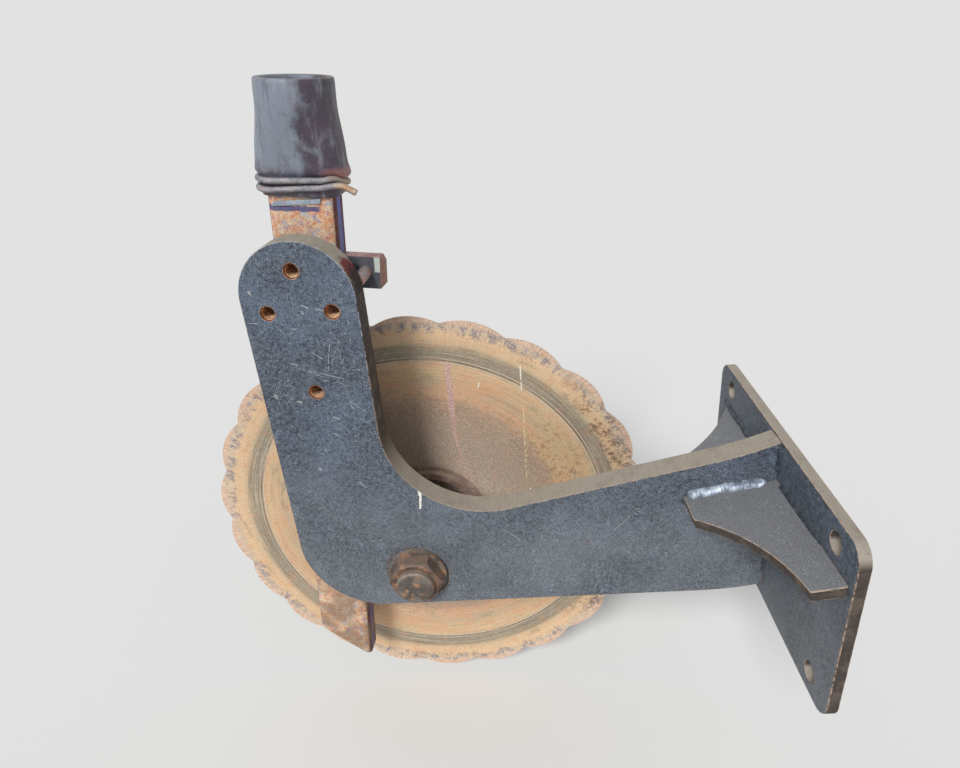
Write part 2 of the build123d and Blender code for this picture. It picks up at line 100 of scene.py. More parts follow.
# The arm's own directions: along the limb, across the plate from its open face, and up
MM = 0.001
JOINT_DEPTH = 130 * MM
INLET_LEVEL = 163 * MM
UP = Vector((0, 0, 1))
ACROSS = -Vector(MOUNTS["stem_hole_top"]["axis"])
ALONG = Vector((ACROSS.y, -ACROSS.x, 0))
SPIN = Vector(SPIN_JOINT["axis"])
FOOT = Vector(SPIN_JOINT["pos_m"]) - SPIN * JOINT_DEPTH
ARM_TURN = -math.atan2(ACROSS.x, ACROSS.y)
ARM_FRAME = (FOOT, (0, 0, ARM_TURN))
DISC_FRAME = (FOOT, (0, 0, -math.atan2(SPIN.x, SPIN.y)))
ARM_THICK = 25 * MM
DISC_RADIUS = 255 * MM

# The tube's own directions: right, across and up along the tube
TUBE_UP = Vector(MOUNTS["hose_inlet"]["axis"])
TUBE_RIGHT = ACROSS.cross(TUBE_UP)
TUBE_ORIGIN = Vector(MOUNTS["hose_inlet"]["pos_m"]) - TUBE_UP * INLET_LEVEL
TUBE_FRAME = (TUBE_ORIGIN, tuple(Matrix((TUBE_RIGHT, ACROSS, TUBE_UP)).transposed().to_euler()))
TUBE_HALF_DEPTH = 16 * MM

# The open gusset's top face, as built: its first corner, its slope and its run to the flange
GUSSET_START = (270, 103.5)
GUSSET_SLOPE = math.radians(14)
GUSSET_ALONG = ALONG * math.cos(GUSSET_SLOPE) + UP * math.sin(GUSSET_SLOPE)
GUSSET_TOP = UP * math.cos(GUSSET_SLOPE) - ALONG * math.sin(GUSSET_SLOPE)
GUSSET_THICK = 10 * MM
FLANGE_BACK_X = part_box("end_flange")[0].x


def arm_point(u, v, w=0.0):
    """A point u along the limb, v up and w behind the arm's open face, all in millimetres."""
    return FOOT + (ALONG * u + UP * v + ACROSS * w) * MM


def tube_point(x, y, t):
    """A point right of, across and up the tube, in millimetres."""
    return TUBE_ORIGIN + (TUBE_RIGHT * x + ACROSS * y + TUBE_UP * t) * MM


def flange_corner(v, w):
    """The corner between the flange's back and the arm at height v and depth w, in millimetres."""
    u = (FLANGE_BACK_X - FOOT.x) / MM - w * ACROSS.x
    return arm_point(u / ALONG.x, v, w)


def tone(red, green, blue):
    """A screen colour from 0 to 255 as the linear colour that a shader takes."""
    return tuple(
        part / 12.92 if part <= 0.04045 else ((part + 0.055) / 1.055) ** 2.4
        for part in (red / 255, green / 255, blue / 255)
    )


def colour(value):
    """A shader's colour, from a tuple of screen values or from a colour setting."""
    return (*(tone(*value) if isinstance(value, tuple) else value[:3]), 1.0)


# Settings that a user would change


def colour_setting(name, description, red, green, blue):
    start = tone(red, green, blue)
    return FloatVectorProperty(
        name=name, description=description, subtype="COLOR", size=3, min=0, max=1, default=start
    )


def length_setting(name, description, millimetres):
    return FloatProperty(
        name=name, description=description, unit="LENGTH", precision=5, min=0, default=millimetres * MM
    )


class OpenerColours(bpy.types.PropertyGroup):
    paint_dark: colour_setting("Paint, dark", "Arm paint where it is clean", 32, 38, 48)
    paint_pale: colour_setting("Paint, pale", "Arm paint where it is rubbed", 92, 101, 114)
    paint_dust: colour_setting("Dust", "Dry dust on the paint", 122, 125, 126)
    speck: colour_setting("Specks", "Pale specks in the paint", 198, 203, 208)
    cut_edge: colour_setting("Cut edge", "Flame-cut edges that face up", 164, 155, 141)
    # Sideways cut edges: partly black paint, partly painted shade, because edges turned away from the light
    # are darker
    cut_edge_side_shaded: colour_setting("Cut edge, side", "Flame-cut edges that face sideways", 66, 56, 52)
    rust: colour_setting("Rust", "Fresh rust", 170, 100, 58)
    rust_dark: colour_setting("Rust, old", "Old dark rust", 84, 54, 42)
    red_paint: colour_setting("Red paint", "Patch of red paint on the head's edge", 112, 24, 36)
    disc_centre: colour_setting("Disc, middle", "Front face near the hub", 190, 170, 152)
    disc_tan: colour_setting("Disc, tan", "Soil-polished band of the disc", 212, 181, 142)
    disc_orange: colour_setting("Disc, orange", "Rusted bands of the disc", 220, 168, 126)
    disc_groove: colour_setting("Disc, grooved", "Dark grooved band", 160, 150, 131)
    disc_rim: colour_setting("Disc, rim", "Rough scalloped rim", 222, 192, 166)
    disc_back: colour_setting("Disc, back", "The side away from the arm", 150, 122, 98)
    tube_blue: colour_setting("Tube, blue", "Blue paint left on the tube", 40, 48, 152)
    rubber: colour_setting("Rubber", "Cuff rubber", 58, 51, 61)
    wire: colour_setting("Wire", "Tie wire", 186, 172, 152)
    floor: colour_setting("Floor", "Floor and backdrop", 232, 232, 230)


class OpenerSizes(bpy.types.PropertyGroup):
    weld_width: length_setting("Weld width", "Width of the bead on the open gusset", 12.5)
    weld_ripple: length_setting("Weld ripple", "Distance from one ripple to the next", 3.2)
    weld_small: length_setting("Small weld", "Width of the other beads", 7)
    thread_pitch: length_setting("Thread pitch", "Pitch of the four tapped holes", 2)
    thread_root: length_setting("Thread root", "Radius at the foot of the thread", 6.87)
    thread_crest: length_setting("Thread crest", "Radius at the thread's inner edge", 6.05)
    cuff_wave: length_setting("Cuff wave", "How far the cuff's lip wanders", 1.1)
    wire_radius: length_setting("Wire radius", "Radius of the tie wires", 2.75)
    edge_round: length_setting("Edge round", "Width of the worn edge of cut plates", 0.9)
    floor_gap: length_setting("Floor gap", "Distance from the disc down to the floor", 12)


class OpenerLight(bpy.types.PropertyGroup):
    sun: FloatProperty(name="Sun", description="Strength of the soft lamp", min=0, default=2.4)
    softness: FloatProperty(
        name="Softness", description="How wide the lamp is", subtype="ANGLE", default=0.30
    )
    sky: FloatProperty(name="Sky", description="Strength of the pale surround", min=0, default=0.45)
    focal: FloatProperty(
        name="Focal length", description="Camera focal length", unit="CAMERA", default=25.5
    )


# Node building


class Nodes:
    """Short calls that add nodes to one tree. A mask is a value, or a triple that ease takes."""

    def __init__(self, tree, place=None):
        self.tree = tree
        self.place = place

    def add(self, kind, sockets=None, **settings):
        made = self.tree.nodes.new("ShaderNode" + kind)
        for name, value in settings.items():
            setattr(made, name, value)
        for key, value in (sockets or {}).items():
            self.feed(made.inputs[key], value)
        return made

    def feed(self, socket, value):
        if isinstance(value, bpy.types.NodeSocket):
            self.tree.links.new(value, socket)
        else:
            socket.default_value = colour(value) if socket.type == "RGBA" else value

    def calc(self, operation, *values, clamp=False):
        return self.add("Math", dict(enumerate(values)), operation=operation, use_clamp=clamp).outputs[0]

    def plus(self, value, factor, extra):
        """The value times a factor, and an extra on top."""
        return self.calc("MULTIPLY_ADD", value, factor, extra)

    def vector(self, operation, *values):
        made = self.add("VectorMath", dict(enumerate(values)), operation=operation)
        measured = operation in ("DOT_PRODUCT", "LENGTH", "DISTANCE")
        return made.outputs["Value" if measured else "Vector"]

    def stretch(self, *factors):
        """The place with its axes drawn out, for streaky noise."""
        return self.vector("MULTIPLY", self.place, factors)

    def axes(self):
        return self.add("SeparateXYZ", {0: self.place}).outputs

    def ease(self, value, low, high):
        """0 at low and 1 at high, with soft ends; high may be the smaller one."""
        sockets = {"Value": value, "From Min": low, "From Max": high}
        return self.add("MapRange", sockets, interpolation_type="SMOOTHSTEP").outputs[0]

    def soft(self, mask):
        return self.ease(*mask) if isinstance(mask, tuple) else mask

    def band(self, value, low, high, soft):
        """1 between low and high."""
        rise = self.ease(value, low - soft, low + soft)
        return self.calc("MULTIPLY", rise, self.ease(value, high + soft, high - soft))

    def both(self, *masks):
        made = self.soft(masks[0])
        for mask in masks[1:]:
            made = self.calc("MULTIPLY", made, self.soft(mask))
        return made

    def blend(self, mask, under, over):
        return self.add("Mix", {0: self.soft(mask), 6: under, 7: over}, data_type="RGBA").outputs[2]

    def layers(self, base, *rows):
        """Coats over a base, in order: each is a shade and the masks that limit it."""
        for shade, *masks in rows:
            base = self.blend(self.both(*masks), base, shade)
        return base

    def level(self, mask, low, high):
        """low where the mask is 0 and high where it is 1."""
        return self.add("Mix", {0: self.soft(mask), 2: low, 3: high}, data_type="FLOAT").outputs[0]

    def ramp(self, value, *stops):
        made = self.add("ValToRGB", {0: value})
        marks = made.color_ramp.elements
        for index, (place, shade) in enumerate(stops):
            mark = marks[index] if index < 2 else marks.new(place)
            mark.position = place
            mark.color = colour(shade)
        return made.outputs[0]

    def cloud(self, scale, detail=3, rough=0.55, warp=0, at=None):
        sockets = {"Vector": at or self.place, "Scale": scale, "Detail": detail}
        sockets.update({"Roughness": rough, "Distortion": warp})
        return self.add("TexNoise", sockets).outputs[0]

    def cells(self, scale, at=None):
        """Distance to the nearest cell's middle, and two chances that are its own."""
        made = self.add("TexVoronoi", {"Vector": at or self.place, "Scale": scale}).outputs
        chance = self.add("SeparateColor", {0: made["Color"]}).outputs
        return made["Distance"], chance[0], chance[1]

    def group(self, effect, at=None, **values):
        """A shared effect with its own values."""
        made = self.tree.nodes.new("ShaderNodeGroup")
        made.node_tree = shared(effect)
        for key, value in {"Place": at or self.place, **values}.items():
            self.feed(made.inputs[key], value)
        return made.outputs

    def specks(self, grain, share, size):
        return self.group(speck_group, Grain=grain, Share=share, Size=size)[0]

    def rings(self, lines, run, detail):
        return self.group(ring_group, Lines=lines, Run=run, Detail=detail)

    def rust(self, grain, fresh, old):
        return self.group(rust_group, Grain=grain, Fresh=fresh, Old=old)

    def strokes(self, table, grain=420):
        """Ragged strokes in one mask, from rows of start x and z, end x and z, and width in millimetres."""
        ragged = self.cloud(grain)
        found = None
        for row in table:
            x, z, end_x, end_z, width = (value * MM for value in row)
            ends = {"Start": (x, 0, z), "End": (end_x, 0, end_z)}
            mask = self.group(stroke_group, Ragged=ragged, Width=width, **ends)[0]
            found = mask if found is None else self.calc("MAXIMUM", found, mask)
        return found

    def bump(self, height, distance, strength=0.5, under=None):
        sockets = {"Height": height, "Distance": distance, "Strength": strength}
        if under is not None:
            sockets["Normal"] = under
        return self.add("Bump", sockets).outputs[0]


class Finish(Nodes):
    """One material, and coordinates from an origin, turned so that x runs along and y across."""

    def __init__(self, name, origin=(0, 0, 0), turn=(0, 0, 0)):
        self.material = bpy.data.materials.new(name)
        self.material.use_nodes = True
        super().__init__(self.material.node_tree)
        self.tree.nodes.clear()
        self.shader = self.add("BsdfPrincipled")
        self.tree.links.new(self.shader.outputs[0], self.add("OutputMaterial").inputs[0])
        self.source = self.add("TexCoord").outputs
        self.place = self.placed(origin, turn)

    def placed(self, origin, turn):
        sockets = {"Vector": self.source["Object"], "Location": origin, "Rotation": turn}
        return self.add("Mapping", sockets, vector_type="TEXTURE").outputs[0]

    def facing(self, direction):
        return self.vector("DOT_PRODUCT", self.source["Normal"], tuple(direction))

    def wear(self, base, rough, normal=None, metal=0.0, specular=0.5, sheen=0.0):
        sockets = {"Base Color": base, "Roughness": rough, "Metallic": metal}
        sockets.update({"Specular IOR Level": specular, "Sheen Weight": sheen})
        if normal is not None:
            sockets["Normal"] = normal
        for key, value in sockets.items():
            self.feed(self.shader.inputs[key], value)
        return self.material


# Shared effects

SOCKET_KINDS = dict.fromkeys(("Place", "Start", "End"), "Vector")
SOCKET_KINDS.update(dict.fromkeys(("Fresh", "Old", "Color"), "Color"))
GROUPS = {}


def shared(effect):
    """The node group of an effect, made once."""
    if effect not in GROUPS:
        GROUPS[effect] = effect()
    return GROUPS[effect]


def new_group(name, inputs, outputs):
    """A node group that takes a place and named values, each with its default."""
    tree = bpy.data.node_groups.new(name, "ShaderNodeTree")

    def socket(label, way):
        kind = "NodeSocket" + SOCKET_KINDS.get(label, "Float")
        return tree.interface.new_socket(name=label, in_out=way, socket_type=kind)

    socket("Place", "INPUT")
    for label, start in inputs.items():
        socket(label, "INPUT").default_value = start
    for label in outputs:
        socket(label, "OUTPUT")
    given = tree.nodes.new("NodeGroupInput").outputs
    return Nodes(tree, given["Place"]), given, tree.nodes.new("NodeGroupOutput").inputs


def speck_group():
    """Uneven specks of random size, one in some of the cells."""
    work, given, result = new_group("Specks", {"Grain": 400, "Share": 0.2, "Size": 0.3}, ["Mask"])
    gap, chance, chance_size = work.cells(given["Grain"])
    size = work.calc("MULTIPLY", given["Size"], work.calc("ADD", chance_size, 0.25))
    uneven = work.cloud(work.calc("MULTIPLY", given["Grain"], 3), 2)
    close = work.calc("ADD", work.calc("DIVIDE", gap, size), work.plus(uneven, 1.6, -0.8))
    picked = work.calc("LESS_THAN", chance, given["Share"])
    work.feed(result["Mask"], work.both((close, 1, 0.55), picked))
    return work.tree


def scratch_group():
    """Thin straight marks along one direction of the x-z plane."""
    inputs = {"Lean": 0.5, "Grain": 60, "Thin": 18, "Share": 0.3}
    work, given, result = new_group("Scratches", inputs, ["Mask"])
    sockets = {"Vector": work.place, "Axis": (0, 1, 0), "Angle": given["Lean"]}
    work.place = work.add("VectorRotate", sockets).outputs[0]
    x, _, z = work.axes()
    crosswise = work.calc("MULTIPLY", work.plus(work.cloud(9, 1), 0.006, z), given["Thin"])
    stretched = work.add("CombineXYZ", {0: x, 1: 0, 2: crosswise}).outputs[0]
    gap, chance, chance_size = work.cells(given["Grain"], stretched)
    close = work.calc("DIVIDE", gap, work.plus(chance_size, 0.3, 0.12))
    picked = work.calc("LESS_THAN", chance, given["Share"])
    work.feed(result["Mask"], work.both((close, 1, 0.5), picked))
    return work.tree


def rust_group():
    """Rust in three browns with its own roughness of surface."""
    inputs = {"Grain": 60, "Fresh": colour((158, 92, 52)), "Old": colour((74, 48, 38))}
    work, given, result = new_group("Rust", inputs, ["Color", "Patch"])
    fine = work.cloud(work.calc("MULTIPLY", given["Grain"], 6), 5, 0.65)
    broad = work.cloud(given["Grain"], 4, 0.6, 0.4)
    shade = work.blend((fine, 0.38, 0.62), given["Old"], given["Fresh"])
    work.feed(result["Color"], work.blend((broad, 0.52, 0.72), shade, (196, 150, 108)))
    work.feed(result["Patch"], broad)
    return work.tree


def stroke_group():
    """A ragged stroke from one point to another in the x-z plane."""
    inputs = {"Ragged": 0.5, "Start": (0, 0, 0), "End": (0, 0, 0.1), "Width": 0.002}
    work, given, result = new_group("Stroke", inputs, ["Mask"])
    reach = work.vector("SUBTRACT", given["End"], given["Start"])
    away = work.vector("SUBTRACT", work.stretch(1, 0, 1), given["Start"])
    along, whole = work.vector("DOT_PRODUCT", away, reach), work.vector("DOT_PRODUCT", reach, reach)
    share = work.calc("DIVIDE", along, whole, clamp=True)
    scaled = work.add("VectorMath", {0: reach, "Scale": share}, operation="SCALE").outputs["Vector"]
    half = work.calc("MULTIPLY", given["Width"], 0.5)
    miss = work.calc("DIVIDE", work.vector("DISTANCE", away, scaled), half)
    close = work.calc("ADD", miss, work.plus(given["Ragged"], 2.4, -1.2))
    work.feed(result["Mask"], work.ease(close, 1.1, 0.7))
    return work.tree


def ring_group():
    """Fine turned lines round an axis along y, seamless round the turn."""
    inputs = {"Lines": 900, "Run": 1.5, "Detail": 4}
    work, given, result = new_group("Turned lines", inputs, ["Value", "Radius"])
    flat = work.stretch(1, 0, 1)
    radius = work.vector("LENGTH", flat)
    work.place = work.vector("NORMALIZE", flat)
    x, _, z = work.axes()
    scaled = enumerate(((x, given["Run"]), (radius, given["Lines"]), (z, given["Run"])))
    spread = work.add("CombineXYZ", {index: work.calc("MULTIPLY", *pair) for index, pair in scaled})
    work.feed(result["Value"], work.cloud(1, given["Detail"], 0.6, at=spread.outputs[0]))
    work.feed(result["Radius"], radius)
    return work.tree


# Finishes


def plate_finish(name, face, colours, marks=None, settled=0, lay=(0, 0, 0)):
    """Near-black paint on a cut plate: mottled and specked, a worn line on its edges, bare cut edges."""
    work = Finish(name, *ARM_FRAME)
    place, level = work.place, work.axes()[2]
    flatness = work.calc("ABSOLUTE", work.facing(face))
    on_face = work.ease(flatness, 0.86, 0.97)
    upward = work.facing(UP)
    broad = work.cloud(11)
    bloom_and_painted_light = work.plus(work.ease(level, 0.2, 0.33), 0.07, broad)
    settling = work.level((broad, 0.3, 0.7), 0.22, 0.6)
    rust = work.rust(90, colours.rust, colours.rust_dark)["Color"]

    # Turned askew, so that the noise's own grid doesn't show on faces that lie along it
    work.place = work.placed(FOOT, (0.61, 0.47, ARM_TURN + 0.35))
    smudge = work.cloud(70, 6, 0.72, 0.8)
    grain = work.cloud(850, 4, 0.82)
    fine = work.cloud(1500, 3, 0.7)
    mottled = work.plus(work.cloud(260, 3, 0.6), 0.35, work.calc("MULTIPLY", grain, 0.75))
    thick = work.level((work.cloud(34, 4, 0.65, 0.6), 0.36, 0.62), 0.22, 1)
    work.place = place

    scratched = None
    flat = work.placed(FOOT, (lay[0], lay[1], ARM_TURN + lay[2]))
    for lean, grain_size, thin, share in ((0.45, 150, 11, 0.1), (-0.55, 210, 9, 0.11), (1.3, 230, 9, 0.07)):
        line = work.group(scratch_group, flat, Lean=lean, Grain=grain_size, Thin=thin, Share=share)[0]
        scratched = line if scratched is None else work.calc("MAXIMUM", scratched, line)
    dots = ((1300, 0.32, 0.44, 0.62), (760, 0.14, 0.34, 0.66), (300, 0.09, 0.17, 0.8), (170, 0.05, 0.12, 0.9))
    paint = work.layers(
        work.blend((mottled, 0.46, 0.63), colours.paint_dark, colours.paint_pale),
        ((104, 117, 138), (bloom_and_painted_light, 0.44, 0.66), (grain, 0.36, 0.58), 0.55),
        ((132, 144, 158), (smudge, 0.53, 0.68), (fine, 0.36, 0.6), 0.5),
        (colours.paint_dust, (level, 0.19, 0.03), settling, (grain, 0.3, 0.56)),
        ((124, 124, 126), (upward, 0.35, 0.95), (grain, 0.26, 0.5), settled),
        *((colours.speck, work.specks(*dot[:3]), thick, dot[3]) for dot in dots),
        ((170, 177, 184), scratched, (fine, 0.34, 0.56), 0.55),
        (rust, work.specks(110, 0.03, 0.18), 0.7),
    )

    # Bare cut edge: matt and lumpy, with pits and faint marks of the cut across it
    lines = work.cloud(360, 3, 0.6, at=work.stretch(1, 0.12, 1))
    patches = work.cloud(60, 4, 0.65)
    edge = work.layers(
        # Edges that face sideways are darker than those that face up: partly black paint, partly painted
        # shade
        work.blend((upward, 0.05, 0.6), colours.cut_edge_side_shaded, colours.cut_edge),
        ((116, 104, 90), (lines, 0.48, 0.66), 0.16),
        ((132, 121, 108), (patches, 0.46, 0.66), 0.3),
        (rust, (patches, 0.62, 0.76), (fine, 0.4, 0.6), 0.5),
        ((206, 198, 182), (grain, 0.56, 0.68), work.level((upward, 0, 0.6), 0.1, 0.45)),
        ((98, 86, 74), work.specks(300, 0.16, 0.3), 0.45),
    )

    # Worn line where face meets edge, cold and pale round the head
    bare = work.blend((fine, 0.42, 0.6), (216, 196, 176), (176, 120, 88))
    bare = work.blend((level, 0.22, 0.28), bare, (188, 198, 212))
    base = work.layers(
        work.blend(on_face, edge, paint),
        (bare, work.band(flatness, 0.22, 0.93, 0.05), (work.cloud(190, 4, 0.75), 0.42, 0.56), 0.75),
        *(marks(work, colours, rust) if marks else ()),
    )
    rough = work.level(on_face, 0.88, work.level((grain, 0.4, 0.7), 0.48, 0.7))
    bumps = work.plus(lines, 0.5, work.plus(grain, 0.5, patches))
    normal = work.bump(work.calc("MULTIPLY", work.level(on_face, 1, 0), bumps), 0.0015, 0.7)
    normal = work.bump(work.plus(grain, 0.5, smudge), 0.0005, 0.3, normal)
    return work.wear(base, rough, normal, specular=0.4)


# Marks on the arm's open face, in rows of start, end and width in millimetres
SCRATCHES = (
    (-92.4, 250.4, -84, 249, 0.8),
    (-84, 245.6, -62, 236, 0.5),
    (-74.4, 242.8, -43, 234, 0.6),
    (-50, 231, -42, 227, 0.5),
    (-68, 261, -59, 254.6, 0.6),
    (-46.6, 270.4, -39, 270.6, 0.5),
    (-69.4, 307, -63.5, 304.8, 1.4),
    (-56, 303, -50, 301.6, 0.9),
    (-41, 210, -26, 198, 0.6),
    (-50, 268.8, -51.5, 262, 0.8),
    (-52.5, 260, -56, 240, 0.6),
    (-123, 291.3, -113, 291, 0.7),
    (-83, 285, -78, 284.5, 0.9),
    (-46, 117.5, -40, 110.5, 0.9),
    (95, 60, 118, 44, 0.6),
    (206, 62, 221, 79, 0.5),
)
FLECKS = (
    (-115, 321, -113.6, 318, 2.6),
    (-113, 217.5, -112.2, 215, 3.6),
    (-69.6, 301, -69, 299, 2),
    (-91, 210.4, -89, 209.6, 3),
    (-39.5, 203.4, -38.5, 202.2, 2.6),
    (-60, 193.2, -55, 190.5, 1.6),
    (-62, 174.8, -58, 172, 1.6),
    (-61.2, 232.4, -60.8, 231.6, 2),
    (-85, 134, -84, 132, 2.2),
)
DROPPING = ((13.7, 106, 14.1, 101, 3.4), (14.1, 100, 12.5, 86, 2.4))


def arm_marks(work, colours, rust):
    """Rusted holes, dried flecks, scratches, a dropping, and red paint on the head's edge."""
    flat = work.stretch(1, 0, 1)
    nearest = None
    for name, mount in MOUNTS.items():
        if name.startswith("stem_hole"):
            centre = Vector(mount["pos_m"]) - FOOT
            gap = work.vector("DISTANCE", flat, (centre.dot(ALONG), 0, centre.z))
            nearest = gap if nearest is None else work.calc("MINIMUM", nearest, gap)
    front = work.ease(work.facing(ACROSS), -0.8, -0.95)
    edge_only = work.ease(work.calc("ABSOLUTE", work.facing(ACROSS)), 0.6, 0.3)
    red = work.cloud(150, 4, 0.7, at=work.stretch(2.2, 0.5, 1))
    red = work.plus(red, 0.02, work.vector("DISTANCE", work.place, (-0.0265, 0.013, 0.3335)))
    scuffs = work.cloud(260, 4, 0.75, at=work.stretch(2.4, 0.7, 1))
    scuffs = work.plus(scuffs, 0.034, work.vector("DISTANCE", work.place, (-0.0185, 0.015, 0.325)))
    return (
        (rust, (work.plus(work.cloud(420), 0.0022, nearest), 0.0092, 0.008)),
        ((176, 174, 168), work.strokes(FLECKS, 300), (work.cloud(650, 3, 0.7), 0.4, 0.54), front, 0.75),
        ((176, 180, 184), work.strokes(SCRATCHES), (work.cloud(300, 3, 0.6), 0.36, 0.5), front, 0.75),
        ((226, 224, 214), work.strokes(DROPPING), front),
        (colours.red_paint, (red, 0.0235, 0.0195), edge_only, 0.92),
        ((42, 33, 36), (scuffs, 0.033, 0.026), edge_only, 0.9),
    )


# Single turned lines on the disc: inner and outer share of its radius, strength and shade
TURNED_LINES = (
    (0.7955, 0.7985, 0.8, (240, 220, 190)),
    (0.8125, 0.8145, 0.65, (228, 214, 190)),
    (0.9665, 0.968, 0.6, (232, 218, 198)),
    (0.8035, 0.8085, 0.6, (84, 78, 68)),
    (0.8195, 0.8225, 0.6, (88, 80, 70)),
    (0.831, 0.8345, 0.45, (92, 84, 72)),
    (0.843, 0.8445, 0.4, (92, 84, 72)),
    (0.856, 0.858, 0.45, (100, 90, 76)),
    (0.866, 0.8672, 0.4, (100, 90, 76)),
    (0.754, 0.7555, 0.4, (120, 102, 84)),
)
# Dried runs on the disc, in rows of start, end and width in millimetres
WHITE_RUNS = (
    (117.5, 193, 117.5, 176, 1.5),
    (117.6, 173, 117.4, 164.5, 1.2),
    (121.6, 31.6, 121.2, 8.4, 2.2),
    (72.4, 173.9, 70.7, 168.4, 1),
)
YELLOW_RUNS = ((118.5, 145, 118, 106, 1.1), (118, 106, 118, 44, 1))


